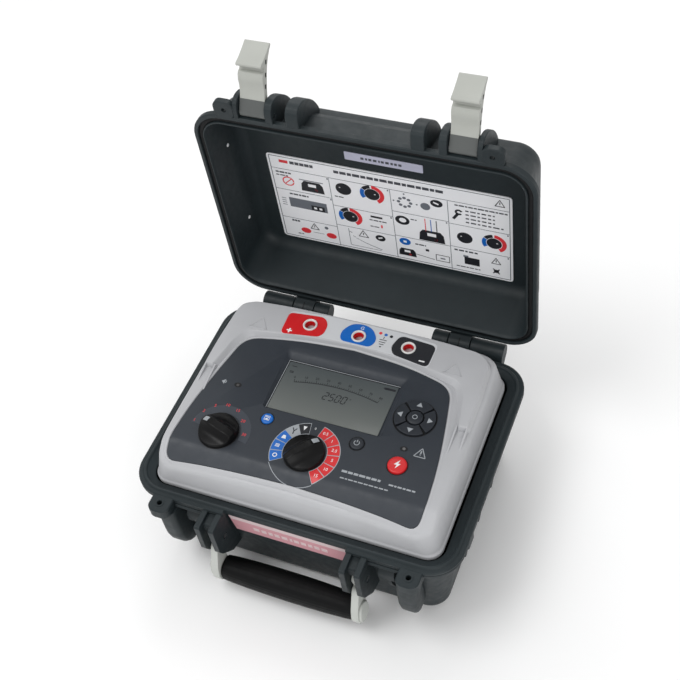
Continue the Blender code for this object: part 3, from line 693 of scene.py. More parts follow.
def build_hump():
    """Raised terminal housing that wraps the back of the panel and runs forward on both sides."""
    low = [(0.0, 66.6), (55.0, 62.8), (103.6, 52.4), (109.6, 40.0), (117.0, 13.0), (120.4, 6.4),
           (131.6, 7.6), (131.8, 40.0), (129.4, 84.0), (117.0, 94.4), (76.0, 97.6), (0.0, 98.2)]
    high = [(0.0, 68.2), (55.0, 64.8), (107.4, 56.0), (114.6, 43.0), (120.4, 14.0), (122.0, 8.4),
            (129.6, 9.4), (129.8, 40.0), (127.4, 83.0), (115.8, 92.6), (76.0, 95.8), (0.0, 96.4)]
    ease = [0, 40, 9, 9, 2, 2, 2, 20, 8, 8, 30, 0]
    ease = ease + list(reversed(ease[1:-1]))

    def side(points, share, inset, z):
        """Outline part of the way from the foot of the hump to its top edge."""
        half = [(ax + (bx - ax) * share, ay + (by - ay) * share) for (ax, ay), (bx, by) in points]
        full = half + [(-x, y) for x, y in reversed(half) if abs(x) > 1e-6]
        smooth = filleted(full, ease, 6)
        area = sum(ax * by - bx * ay for (ax, ay), (bx, by) in zip(smooth, smooth[1:] + smooth[:1]))
        if area < 0:
            smooth.reverse()
        return [Vector((x, y, z)) for x, y in grown(smooth, -inset)]

    pairs = list(zip(low, high))
    rows = [side(pairs, -0.3, 0.0, 24.0), side(pairs, 0.0, 0.0, 34.6), side(pairs, 0.86, 0.0, 39.0),
            side(pairs, 1.0, 0.0, 39.6), side(pairs, 1.0, 0.35, 39.9), side(pairs, 1.0, 0.9, 40.0)]
    holes = [turned(((6.9, 24.0), (6.9, 44.0)), (x, SOCKET_Y)) for x in SOCKETS]
    piece("terminal_hump", carve(loft(rows), holes), DECK, "case", ("terminal_housing",), angle=32)
    for edge, tag in ((1, "right"), (-1, "left")):
        for x, where in ((119.6, "inner"), (129.2, "outer")):
            wedge = ((10.0, 30.0), (10.0, 38.8), (6.0, 38.6), (-19.0, 35.0 if where == "inner" else 33.4),
                     (-19.0, 28.0))
            x0, x1 = span(edge, x - 0.9, x + 0.9)
            piece(f"arm_gusset_{where}_{tag}", bar(wedge, x0, x1), DECK, "case", bevel=0.5, steps=3)
    clip = loft([ring(1.3 - i, 2.6 - i, 1.0 - i, z, 4, (133.4, 33.0)) for z,
                 i in ((16.0, 0.0), (21.6, 0.0), (22.2, 0.4))])
    piece("shoulder_clip", clip, STEEL, "case")
    marks = bmesh.new()
    for x, y in ((-98.0, 66.5), (98.0, 66.5)):
        corners = [(x - 9.5, y - 5.5), (x + 9.5, y - 5.5), (x, y + 9.0)]
        frame_outline(marks, filleted(corners, 1.5, 3), 1.1, 39.8, 40.45)
    piece("hump_embossing", marks, DECK, "case", bevel=0.2)
    strip_half = [(0.0, 68.6), (40.0, 67.2), (75.0, 61.0), (75.5, 90.5), (40.0, 94.3), (0.0, 95.0)]
    strip = filleted(mirrored(strip_half), 5.0, 5)
    holes = [turned(((6.9, 38.0), (6.9, 44.0)), (x, SOCKET_Y)) for x in SOCKETS]
    piece("terminal_strip", carve(plate(strip, 39.7, 40.2), holes), STRIP, "case", bevel=0.15)
    build_terminals()


def build_terminals():
    """Coloured terminal fields with their shrouded sockets and the small print beside them."""
    red = filleted(((-74.5, 61.5), (-37, 67.5), (-33.5, 73), (-33.5, 84), (-40, 91.5), (-75.5, 88)), 5.0)
    blue = filleted(((-16, 69.5), (15, 69.5), (18, 80), (10, 91), (0, 94), (-12, 91.5), (-18.5, 80)), 6.0)
    black = filleted(((33.5, 76), (38, 67.5), (74, 62), (74.5, 88), (38, 91)), 6.0)
    for name, outline, paint, slot, x in (("red", red, RED, "signal_red", -50.0),
                                          ("blue", blue, BLUE, "signal_blue", 0.0),
                                          ("black", black, DARK_PRINT, "knob_black", 50.0)):
        hole = turned(((7.0, 38.0), (7.0, 44.0)), (x, SOCKET_Y))
        piece(name + "_label", carve(plate(outline, 40.1, 40.7), [hole]), paint, "case",
              (name + "_terminal_label",), bevel=0.15, slot=slot)
        rows = ((6.6, 24.0), (6.6, 40.2), (7.0, 40.6), (7.1, 41.4), (6.8, 41.9), (6.2, 42.1), (5.6, 41.9),
                (5.2, 41.4), (5.1, 40.6), (5.1, 24.0))
        piece(name + "_socket_ring", loft([circle(r, z, (x, SOCKET_Y)) for r, z in rows], looped=True),
              RING, "case", (name + "_terminal_socket",), angle=50)
        cup = ((5.05, 24.0), (5.05, 40.4), (4.7, 40.8), (4.5, 40.4), (4.4, 26.0))
        piece(name + "_socket_cup", loft([circle(r, z, (x, SOCKET_Y)) for r, z in cup], low_cap=False),
              RED_DEEP, "case", angle=50)
        tube = ((1.9, 24.2), (2.4, 24.4), (2.4, 26.4), (2.1, 26.8), (1.6, 26.4), (1.6, 24.6))
        piece(name + "_contact_tube", loft([circle(r, z, (x, SOCKET_Y), 24) for r, z in tube],
                                           looped=True), BRASS, "case", (name + "_terminal_contact",))
    marks = bmesh.new()
    quarter = ((0.7, 0.7), (0.7, 2.7), (-0.7, 2.7))
    cross = []
    for turn in range(4):
        c, n = ((1, 0), (0, 1), (-1, 0), (0, -1))[turn]
        cross.extend((-67.0 + u * c - v * n, 66.8 + u * n + v * c) for u, v in quarter)
    plate(cross, 40.6, 40.85, marks)
    plate(box(64.0, 69.6, 66.6, 68.0), 40.6, 40.85, marks)
    lettering(marks, "G", 5.4, 0.0, 88.9, 40.7)
    piece("terminal_marks", marks, WHITE, "case")
    dots = ((18.6, 88.6, RED_PRINT, "red"), (24.2, 88.0, BLUE, "blue"), (29.8, 87.4, DARK_PRINT, "black"))
    for x, y, paint, tag in dots:
        piece("wiring_dot_" + tag, turned(((1.6, 40.1), (1.6, 40.35)), (x, y), 24), paint, "case",
              slot="ring_white")
    lines = bmesh.new()
    for x0, x1, y0, y1 in ((23.2, 23.9, 82.6, 85.4), (20.0, 27.4, 81.0, 81.7), (20.4, 26.8, 78.2, 78.9),
                           (21.4, 26.0, 75.6, 76.3), (22.8, 24.4, 72.4, 73.6)):
        plate(box(x0, x1, y0, y1), 40.15, 40.3, lines)
    piece("wiring_lines", lines, DARK_PRINT, "case")


def build_film():
    """Dark printed film over the panel, bent at the crease and open at the keys and display."""
    bm = plate(panel_outline(), 29.0, PANEL_Z)
    y = -66.0
    while y > -97.0:
        geometry = list(bm.verts) + list(bm.edges) + list(bm.faces)
        bmesh.ops.bisect_plane(bm, geom=geometry, plane_co=(0, y, 0), plane_no=(0, 1, 0))
        y -= 1.5
    drape(bm)
    upper = [(-58.5, -21.0), (59.5, -21.0), (63.5, 52.0), (-63.5, 52.0)]
    lower = box(-55.4, 55.2, -18.6, 40.0)
    rows = []
    for share, z in ((0.0, 31.6), (0.55, 34.0), (1.0, 36.2)):
        pts = [((1 - share) * a + share * c, (1 - share) * b + share * d) for (a, b),
               (c, d) in zip(lower, upper)]
        rows.append([Vector((px, py, z)) for px, py in filleted(pts, 2.0 + 3.0 * share, 5)])
    holes = [loft(rows)]
    for centre, radius in ((NAV, 19.7), (SAVE, 6.1), (POWER, 6.9), (TEST, 9.2)):
        holes.append(turned(((radius, 33.6), (radius, 37.0)), centre))
    piece("panel_film", carve(bm, holes), FILM, "case", ("panel_overlay",), bevel=0.3, angle=50)
    floor = bmesh.new()
    for centre, radius in ((NAV, 19.6), (SAVE, 6.0), (POWER, 6.8), (TEST, 9.1)):
        turned(((radius, 33.65), (radius, 33.8)), centre, 48, floor)
    piece("key_well_floors", floor, GAP, "case")
    build_display()


SEGMENTS = {"0": "abcdef", "1": "bc", "2": "abdeg", "5": "acdfg"}


def digit(bm, char, x, y, width, height, z):
    """Seven-segment figure made of pointed bars, leaning a little."""
    t = 0.95
    half = height / 2
    spans = {"a": ((0, height), (width, height)), "g": ((0, half), (width, half)),
             "d": ((0, 0), (width, 0)), "f": ((0, half), (0, height)),
             "b": ((width, half), (width, height)), "e": ((0, 0), (0, half)),
             "c": ((width, 0), (width, half))}
    for key in SEGMENTS[char]:
        (ax, ay), (bx, by) = spans[key]
        a, b = Vector((ax, ay)), Vector((bx, by))
        run = (b - a).normalized()
        side = Vector((-run.y, run.x)) * t / 2
        a, b = a + run * 0.25, b - run * 0.25
        points = [a, a + run * t / 2 + side, b - run * t / 2 + side, b, b - run * t / 2 - side,
                  a + run * t / 2 - side]
        outline = [(x + p.x + 0.16 * p.y, y + p.y) for p in reversed(points)]
        plate(outline, z, z + 0.1, bm)


def build_display():
    """Display glass with its frame, curved scale, digits and side marks."""
    face = plate(filleted(box(-54.5, 54.5, -18.0, 38.0), 1.0), 31.2, 32.2)
    piece("display_face", face, DISPLAY, "case", ("display_window",))
    edge = bmesh.new()
    for x0, x1, y0, y1 in ((-56.0, 56.0, 37.9, 40.0), (-56.0, -54.4, -19.0, 38.0)):
        plate(box(x0, x1, y0, y1), 31.4, 32.6, edge)
    piece("display_frame", edge, GAP, "case", bevel=0.2)
    # Thin pale strips along the left and back edges of the display: painted highlight where the frame edge
    # catches the light.
    glint = bmesh.new()
    for x0, x1, y0, y1 in ((-55.4, -54.9, -18.4, 38.6), (-55.4, 56.0, 38.6, 39.1)):
        plate(box(x0, x1, y0, y1), 32.5, 32.75, glint)
    piece("display_edge_glint", glint, GREY_PRINT, "case", slot="deck_grey")
    ink = bmesh.new()
    z = 32.2
    for i, char in enumerate("2500"):
        digit(ink, char, -9.4 + 6.0 * i, 5.6, 3.9, 8.0, z)
    lettering(ink, "v", 4.0, 16.6, 12.4, z + 0.06, lift=0.1)
    centre_y, radius = -148.0, 169.5
    for i in range(41):
        angle = 90.0 + 14.2 * (20 - i) / 20
        major = i % 5 == 0
        sector(ink, (0.0, centre_y), radius, radius + (3.2 if major else 1.5), angle - 0.07, angle + 0.07,
               z, z + 0.1, 1)
        if major:
            a = math.radians(angle)
            lettering(ink, str(i // 5 * 10), 3.5, (radius + 5.4) * math.cos(a),
                      centre_y + (radius + 5.4) * math.sin(a), z + 0.06, angle - 90.0, 0.1)
    sector(ink, (0.0, centre_y), radius - 0.4, radius + 0.25, 75.8, 104.2, z, z + 0.1, 1)
    plate(box(42.5, 53.0, 32.6, 35.0), z, z + 0.1, ink)
    plate(box(41.4, 42.2, 33.2, 34.4), z, z + 0.1, ink)
    for x, y, w in ((-50.5, 33.0, 5.0), (-50.5, 27.0, 4.0), (-50.5, 25.6, 4.0)):
        plate(box(x, x + w, y, y + 0.7), z, z + 0.1, ink)
    piece("display_figures", ink, DARK_PRINT, "case")


# Controls ----------------------------------------------------------------------------------------

def knob_mesh(centre, angle):
    """Moulded pointer knob: a disc whose scooped flanks rise to a blade that slopes to the pointer tip."""
    count = 144
    reach = 18.3

    def height(r, a):
        u, v = r * math.cos(a), r * math.sin(a)
        half = 2.9 + 1.1 * (1.0 - min(1.0, abs(u) / reach) ** 2)
        t = min(1.0, max(0.0, (abs(v) - half) / 8.4))
        blade = (1.0 - t) ** 2.2
        tip = max(0.0, (u - 7.0) / 11.3)
        heel = max(0.0, (-u - 9.0) / 9.3)
        ridge = 7.6 - 4.3 * tip ** 1.5 - 2.6 * heel ** 1.7
        shoulder = 1.6 * (1.0 - (r / reach) ** 3)
        return 39.0 + shoulder + max(0.0, ridge - shoulder) * blade

    rows = []
    for r in (18.1, 17.9, 17.5, 16.8, 15.8, 14.6, 13.2, 11.8, 10.4, 9.0, 7.6, 6.2, 4.8, 3.4, 2.0, 0.8):
        rows.append([(r, height(r, 2 * math.pi * i / count)) for i in range(count)])
    skirt = [[(18.6, 35.2)] * count, [(18.6, 36.4)] * count, [(18.4, 37.0)] * count]
    rim = [(18.3, rows[0][i][1] - 0.35) for i in range(count)]
    rings = []
    for line in skirt + [rim] + rows:
        points = []
        for i, (r, z) in enumerate(line):
            a = 2 * math.pi * i / count
            points.append(Vector((r * math.cos(a), r * math.sin(a), z)))
        rings.append(points)
    return moved(loft(rings), centre[0], centre[1], 0.0, angle)


def pointer_mark(centre, angle):
    """Pale index set into the sloping tip of a knob."""
    top = ((10.0, 46.7), (13.4, 45.2), (15.8, 43.7), (18.4, 41.9))
    rows = []
    for u, z in top:
        rows.append([Vector((u, v, h)) for v, h in box(-2.4, 2.4, z - 1.6, z)])
    return moved(loft(rows), centre[0], centre[1], 0.0, angle)


def build_controls():
    """Knobs, round buttons and the ring of navigation keys."""
    for name, centre, angle in (("timer_knob", TIMER, 162.0), ("range_knob", RANGE, 52.0)):
        piece(name + "_body", knob_mesh(centre, angle), KNOB, name, (name,), angle=50)
        piece(name + "_pointer", pointer_mark(centre, angle), GREY_PRINT, name, bevel=0.4)
        plinth = turned(((19.1, 34.6), (19.1, 35.1), (18.6, 35.2)), centre, 72)
        piece(name + "_plinth", drape(plinth), GAP, "case")
    caps = (("save_button", SAVE, 5.7, 36.6, BLUE, "signal_blue"), ("power_button", POWER, 6.4, 36.7, KEY,
                                                                    "knob_black"),
            ("test_button", TEST, 8.7, 37.5, RED, "signal_red"))
    for name, centre, radius, top, paint, slot in caps:
        rows = ((radius, 31.0), (radius, top - 1.1), (radius - 0.25, top - 0.55), (radius - 0.8, top - 0.2),
                (radius - 1.6, top - 0.1), (radius * 0.5, top), (0.4, top))
        piece(name + "_cap", turned(rows, centre), paint, name, (name,), angle=60, slot=slot)
    save = bmesh.new()
    x, y = SAVE
    frame_outline(save, box(x - 2.5, x + 2.5, y - 2.4, y + 2.4), 0.6, 36.55, 36.75)
    plate(box(x - 1.2, x + 1.2, y - 2.2, y - 0.5), 36.55, 36.75, save)
    plate(box(x - 1.5, x + 1.5, y + 0.7, y + 1.3), 36.55, 36.75, save)
    piece("save_glyph", save, WHITE, "save_button")
    power = bmesh.new()
    sector(power, POWER, 2.1, 2.7, 130.0, 410.0, 36.55, 36.8, 1)
    plate([(POWER[0] + a, POWER[1] + b) for a, b in box(-0.3, 0.3, 0.6, 3.1)], 36.55, 36.8, power)
    piece("power_glyph", power, GREY_PRINT, "power_button")
    bolt = ((-0.6, -4.6), (3.0, 0.9), (0.5, 0.9), (1.6, 4.8), (-2.8, -0.7), (-0.2, -0.7))
    test = plate([(TEST[0] + a, TEST[1] + b) for a, b in bolt], 37.4, 37.65)
    piece("test_glyph", test, WHITE, "test_button")
    for name, middle in (("right", 0), ("up", 90), ("left", 180), ("down", 270)):
        key = sector(bmesh.new(), NAV, 8.5, 19.0, middle - 41.6, middle + 41.6, 32.4, 37.0, 3)
        piece(f"nav_{name}_cap", key, KEY, f"nav_{name}_key", (f"nav_{name}_key",), bevel=0.7, angle=50)
        arrow = ((3.0, 0.0), (-1.6, 2.9), (-1.6, -2.9))
        a = math.radians(middle)
        glyph = []
        for u, v in arrow:
            u += 13.8
            glyph.append((NAV[0] + u * math.cos(a) - v * math.sin(a),
                          NAV[1] + u * math.sin(a) + v * math.cos(a)))
        piece(f"nav_{name}_arrow", plate(glyph, 36.9, 37.15), GREY_PRINT, f"nav_{name}_key")
    rows = ((7.3, 32.0), (7.3, 36.6), (7.0, 37.2), (6.2, 37.6), (3.0, 37.7), (0.4, 37.7))
    piece("nav_centre_cap", turned(rows, NAV), KEY, "nav_centre_key", ("nav_centre_key",), angle=60)
    mark = washer(2.4, 1.8, 37.6, 37.85, NAV)
    piece("nav_centre_glyph", mark, GREY_PRINT, "nav_centre_key")
    build_print()


def build_print():
    """Printed rings, scales and signs on the panel, each a thin layer; the dial layers are draped to follow
    the bend.
    """
    z = PANEL_Z
    hub = (0.0, -56.0)
    halo = sector(bmesh.new(), TIMER, 20.7, 29.5, -10.0, 175.0, z - 0.2, z + 0.06, 4)
    piece("timer_halo", halo, FILM_PALE, "case")
    arc_line = sector(bmesh.new(), hub, 32.4, 32.9, 214.0, 302.0, z - 0.2, z + 0.1, 1)
    piece("dial_lower_line", drape(arc_line), GREY_PRINT, "case")
    inks = {"blue": bmesh.new(), "grey": bmesh.new(), "black": bmesh.new(), "red": bmesh.new()}
    rim, marks, dark = bmesh.new(), bmesh.new(), bmesh.new()
    labels = ("", "", "", "", "", None, "0.5", "1", "2.5", "5", "10", "15")
    colours = ["blue"] * 3 + ["grey", "black", None] + ["red"] * 6
    for i, colour in enumerate(colours):
        if colour is None:
            continue
        a1 = 213.0 - 22.5 * i
        a0 = a1 - 22.5
        sector(rim, hub, 20.0, 32.2, a0, a1, z - 0.2, z + 0.08)
        sector(inks[colour], hub, 20.6, 31.5, a0 + 0.9, a1 - 0.9, z - 0.2, z + 0.16)
        middle = math.radians((a0 + a1) / 2)
        x, y = hub[0] + 26.6 * math.cos(middle), hub[1] + 26.6 * math.sin(middle)
        if labels[i]:
            lettering(marks, labels[i], 4.3, x, y, z + 0.25)
    for i, kind in enumerate(("ring", "bars", "block")):
        middle = math.radians(213.0 - 22.5 * i - 11.25)
        x, y = hub[0] + 26.6 * math.cos(middle), hub[1] + 26.6 * math.sin(middle)
        if kind == "ring":
            washer(2.2, 1.4, z + 0.1, z + 0.28, (x, y), 24, marks)
        elif kind == "bars":
            for k in (-1.2, 0.0, 1.2):
                plate(box(x - 2.0, x + 2.0, y + k - 0.3, y + k + 0.3), z + 0.1, z + 0.28, marks)
        else:
            plate([(x - 2.2, y - 1.8), (x + 2.2, y - 1.8), (x + 1.2, y + 1.8), (x - 1.2, y + 1.8)],
                  z + 0.1, z + 0.28, marks)
    a = math.radians(134.0)
    x, y = hub[0] + 26.4 * math.cos(a), hub[1] + 26.4 * math.sin(a)
    for u, v in (((-2.0, 3.2), (0.0, 0.0)), ((2.0, 3.2), (0.0, 0.0)), ((0.0, 0.0), (0.0, -3.4))):
        p, q = Vector(u), Vector(v)
        side = (q - p).normalized() * 0.45
        side = Vector((-side.y, side.x))
        plate([(x + w.x, y + w.y) for w in (p - side, q - side, q + side, p + side)], z + 0.1, z + 0.26,
              dark)
    a = math.radians(112.0)
    x, y = hub[0] + 26.4 * math.cos(a), hub[1] + 26.4 * math.sin(a)
    plate([(x - 1.8, y + 2.2), (x, y - 2.4), (x + 1.8, y + 2.2)], z + 0.1, z + 0.3, marks)
    piece("dial_rim", drape(rim), GREY_PRINT, "case")
    for colour, paint, slot in (("blue", BLUE, "signal_blue"), ("grey", GREY_PRINT, "ring_white"),
                                ("black", DARK_PRINT, "knob_black"), ("red", RED, "signal_red")):
        piece("dial_" + colour, drape(inks[colour]), paint, "case", slot=slot)
    lettering(marks, "0", 3.2, hub[0] + 27.0 * math.cos(math.radians(91)), hub[1] + 27.0, z + 0.06)
    piece("dial_marks", drape(marks), WHITE, "case")
    piece("dial_dark_marks", drape(dark), DARK_PRINT, "case")
    red = bmesh.new()
    scale = ((-111.5, -53.0, "1"), (-107.4, -41.0, "2"), (-99.6, -32.6, "5"), (-88.6, -28.6, "10"),
             (-77.0, -31.6, "15"), (-67.4, -41.0, "20"), (-60.4, -54.6, "30"))
    for x, y, text in scale:
        lettering(red, text, 4.4, x, y, z + 0.08)
    piece("timer_scale", red, RED_PRINT, "case")
    signs = bmesh.new()
    warning_triangle(signs, 98.2, -25.4, 12.0, z, 0.8)
    plate([(-106.6, -4.4), (-103.2, -1.6), (-103.2, -7.2)], z, z + 0.12, signs)
    plate(box(-102.6, -101.8, -5.8, -3.0), z, z + 0.12, signs)
    for x0, y0, high, widths in ((38.6, -64.4, 4.0, (5.0, 4.4, 4.2, 5.6, 4.0, 4.8, 2.6)),
                                 (39.6, -70.8, 2.2, (3.6, 2.2, 4.4, 3.0, 4.4, 3.6, 4.4, 3.2, 4.0, 3.4)),
                                 (82.6, -65.2, 2.9, (4.2, 2.0, 3.8, 2.6, 4.0, 3.0))):
        for width in widths:
            plate(box(x0, x0 + width, y0, y0 + high * 0.55), z, z + 0.12, signs)
            x0 += width + 0.9
    piece("panel_signs", signs, GREY_PRINT, "case")
    rings = bmesh.new()
    for centre, radius in ((POWER, 6.9), (NAV, 19.7), (SAVE, 6.1), (TEST, 9.2)):
        washer(radius + 0.55, radius, z - 0.4, z + 0.12, centre, 64, rings)
    piece("key_borders", rings, GAP, "case")
    ovals = bmesh.new()
    for x, y in ((-89.7, -4.5), (82.5, -25.6)):
        outer = [(x + 3.6 * math.cos(t / 12 * math.pi), y + 2.6 * math.sin(t / 12 * math.pi))
                 for t in range(24)]
        plate(outer, z - 0.3, z + 0.1, ovals)
    piece("lens_surrounds", ovals, GAP, "case")


# Lid ---------------------------------------------------------------------------------------------

def build_lid():
    """Lid shell, seal, hinge leaves, latch housings, padlock lugs and top ribs, drawn shut."""
    rows = ((131.0, 84.0, 11.0, 55.0), (136.0, 89.5, 13.0, 54.8), (140.5, 94.0, 15.5, 53.6),
            (143.8, 97.4, 17.6, 51.4), (146.0, 99.8, 19.0, 48.4), (147.4, 101.2, 20.2, 44.8),
            (148.2, 102.6, 21.0, 40.0), (150.0, 110.6, 24.6, 9.6), (151.0, 111.8, 25.6, 8.0),
            (153.4, 114.3, 27.6, 7.2), (156.5, 117.4, 30.2, 7.0), (157.5, 118.4, 31.0, 6.0),
            (157.5, 118.4, 31.0, 1.6), (156.6, 117.5, 30.2, 0.6), (153.9, 114.8, 27.6, 0.5),
            (153.3, 114.2, 27.0, 1.0), (153.2, 114.1, 27.0, 4.2), (148.8, 109.7, 23.2, 4.2),
            (148.7, 109.6, 23.2, 1.0), (148.2, 109.0, 22.4, 0.5), (147.6, 108.3, 21.8, 0.5),
            (147.0, 107.6, 21.2, 1.2), (146.6, 106.8, 20.6, 4.0), (144.4, 99.0, 17.4, 41.0),
            (143.2, 97.6, 16.4, 45.6), (141.2, 95.4, 15.0, 49.0), (138.6, 92.8, 13.4, 51.0),
            (135.0, 89.0, 11.4, 51.6))
    piece("lid_tub", loft([ring(*row) for row in rows]), CASE, "lid", ("lid_shell",))
    rows = ((153.0, 113.9, 26.8, 2.7), (153.1, 114.0, 26.9, 3.9), (148.9, 109.8, 23.2, 3.9),
            (149.0, 109.9, 23.3, 2.7), (150.0, 110.9, 24.2, 2.3), (152.0, 112.9, 26.0, 2.3))
    piece("lid_seal", loft([ring(*row) for row in rows], looped=True), RIM_DARK, "lid", ("lid_gasket",))
    for side, tag in ((1, "right"), (-1, "left")):
        x0, x1 = span(side, 71.4, 93.4)
        web = list(reversed(arc(*HINGE, BARREL_R, -180, 70, 24))) + [(119.5, 4.0), (115.5, 5.2),
                                                                     (109.5, 5.2), (103.2, 32.0)]
        piece("lid_hinge_leaf_" + tag, bar(web, x0, x1), CASE, "lid", bevel=0.7, angle=40)
        groove = rod_x(9.62, min(82.0 * side, 82.9 * side), max(82.0 * side, 82.9 * side), *HINGE)
        piece("lid_hinge_line_" + tag, groove, RIM_DARK, "lid")
        dome = ((-115.2, 1.0), (-115.0, 5.2), (-109.0, 5.2), (-101.4, 43.0), (-104.4, 43.6),
                (-108.4, 42.6), (-112.4, 40.8), (-117.0, 38.2), (-121.2, 35.4), (-125.6, 31.6),
                (-129.6, 27.4), (-133.0, 23.0), (-135.6, 18.4), (-136.9, 13.8), (-137.0, 9.6),
                (-135.6, 5.6), (-132.4, 2.4), (-127.6, 0.9))
        for near, far, where in ((50.0, 62.0, "inner"), (74.4, 81.4, "middle"), (107.0, 111.6, "outer")):
            x0, x1 = span(side, near, far)
            body = bar(dome, x0, x1)
            if where != "inner":
                body = carve(body, [rod_x(2.1, x0 - 1, x1 + 1, *LATCH)])
            piece(f"latch_housing_{where}_{tag}", body, CASE, "lid", bevel=1.2 if where == "inner"
                  else 0.8, angle=25, steps=4)
        lug = loft([ring(9.9 - i, 9.3 - i, 6.8 - i, z, 8, (120.4 * side, -124.8))
                    for z, i in ((0.6, 0.8), (1.4, 0.0), (6.2, 0.0), (7.0, 0.8))])
        hole = turned(((2.4, -2.0), (2.4, 10.0)), (PADLOCK[0] * side, PADLOCK[1]), 24)
        piece("lid_padlock_lug_" + tag, carve(lug, [hole]), CASE, "lid")
    bar_rail = ((-108.0, 6.0), (-104.0, 34.0), (-107.4, 34.6), (-112.4, 26.0), (-113.6, 6.0))
    piece("lid_front_rail", bar(bar_rail, -50.5, 50.5), CASE, "lid", bevel=0.9, angle=25)
    for x in (-100.0, -50.0, 0.0, 50.0, 100.0):
        rib = loft([ring(2.0, h, 1.4, z, 4, (x, -4.0)) for z, h in ((54.2, 66.0), (55.2, 64.0))])
        piece(f"lid_top_rib_{int(x + 100)}", rib, CASE, "lid")
    for y, n, tag in ((-53.0, 29.0, "upper"), (47.0, 32.0, "lower")):
        stud = turned(((1.8, 0.0), (1.7, 0.5), (1.0, 0.9)), (0.0, 0.0), 24)
        lean = Matrix.Translation((-146.75 + (n - 4.0) * 0.06, y, n)) @ Matrix.Rotation(math.radians(90),
                                                                                        4, "Y")
        bmesh.ops.transform(stud, matrix=lean, verts=stud.verts)
        piece("lid_stud_" + tag, stud, WHITE, "lid")
    build_card()


def on_lid(x, s):
    """Place on the lid floor: across, then up from the hinge, in drawn-closed coordinates."""
    return x, HINGE[0] - s


def card_patch(outline, z0=50.5, z1=51.4, bm=None):
    """Flat layer on the lid floor, from corners given as in on_lid."""
    return plate([on_lid(x, s) for x, s in outline], z0, z1, bm)


class CardPrint:
    """Printed layers of the card, one mesh per ink, each standing just off the card."""

    LEVELS = {"line": (50.42, 50.6), "dark": (50.3, 50.6), "mid": (50.36, 50.6), "words": (50.38, 50.6),
              "red": (50.3, 50.6), "blue": (50.3, 50.6), "paper": (50.22, 50.4)}

    def __init__(self):
        self.inks = {tag: bmesh.new() for tag in self.LEVELS}

    def box_at(self, ink, x, s, w, h, spin=0.0):
        """Rectangle about its middle, turned by spin degrees."""
        a = math.radians(spin)
        corners = []
        for u, v in box(-w / 2, w / 2, -h / 2, h / 2):
            corners.append((x + u * math.cos(a) - v * math.sin(a), s + u * math.sin(a) + v * math.cos(a)))
        card_patch(corners, *self.LEVELS[ink], self.inks[ink])

    def oval(self, ink, x, s, rx, ry, start=0.0, end=360.0, inner=0.0):
        """Disc, ring or ring sector."""
        count = max(8, int((end - start) / 12))
        outer = [(x + rx * math.cos(math.radians(start + (end - start) * i / count)),
                  s + ry * math.sin(math.radians(start + (end - start) * i / count)))
                 for i in range(count + 1)]
        if end - start >= 360.0:
            outer = outer[:-1]
        if inner:
            core = [(x + (px - x) * inner, s + (ps - s) * inner) for px, ps in reversed(outer)]
            outer = outer + core
        card_patch(outer, *self.LEVELS[ink], self.inks[ink])

    def frame_at(self, x, s, w, h, width=0.5):
        """Four thin lines round a field."""
        for dx, dy, bw, bh in ((0, h / 2, w, width), (0, -h / 2, w, width), (w / 2, 0, width, h),
                               (-w / 2, 0, width, h)):
            self.box_at("line", x + dx, s + dy, bw, bh)

    def words(self, x0, x1, s, height=1.9, gap=0.8, sizes=(3.2, 5.1, 2.4, 4.4, 3.0, 6.0)):
        """Row of plain bars that stands for a line of text."""
        x, k = x0, 0
        while x < x1 - 1.0:
            width = min(sizes[k % len(sizes)], x1 - x)
            self.box_at("words", x + width / 2, s, width, height)
            x += width + gap
            k += 1

    def small_knob(self, x, s, r=6.6):
        """Picture of the timer knob."""
        self.oval("dark", x, s, r, r * 0.95)
        self.box_at("paper", x - r * 0.45, s + r * 0.2, 1.4, 0.9)

    def range_dial(self, x, s, r=6.4):
        """Picture of the range knob and its coloured scale."""
        self.oval("blue", x, s, r + 4.6, r + 4.2, 150.0, 215.0, 0.66)
        self.oval("dark", x, s, r + 4.6, r + 4.2, 98.0, 146.0, 0.66)
        self.oval("red", x, s, r + 4.8, r + 4.4, -60.0, 88.0, 0.66)
        self.oval("dark", x, s, r, r * 0.95)
        self.box_at("paper", x + r * 0.4, s + r * 0.1, 1.6, 0.9)

    def sign(self, x, s, size=9.0):
        """Generic triangular sign."""
        for (ax, ay), (bx, by) in (((-0.5, -0.4), (0.5, -0.4)), ((0.5, -0.4), (0, 0.5)),
                                   ((0, 0.5), (-0.5, -0.4))):
            mx, my = (ax + bx) / 2 * size, (ay + by) / 2 * size
            length = math.hypot(bx - ax, by - ay) * size
            self.box_at("dark", x + mx, s + my, length + 0.4, 0.7, math.degrees(math.atan2(by - ay,
                                                                                           bx - ax)))
        self.box_at("dark", x, s + 0.2, 0.8, 3.0)

    def tester(self, x, s, w=20.0):
        """Picture of the tester seen from the front."""
        outline = ((-0.5, -0.3), (0.5, -0.3), (0.46, 0.1), (0.34, 0.26), (-0.34, 0.26), (-0.46, 0.1))
        card_patch([(x + u * w, s + v * w) for u, v in outline], *self.LEVELS["dark"], self.inks["dark"])
        self.box_at("paper", x, s + 0.06 * w, w * 0.34, w * 0.16)
        self.oval("red", x + w * 0.16, s - w * 0.16, w * 0.08, w * 0.08)


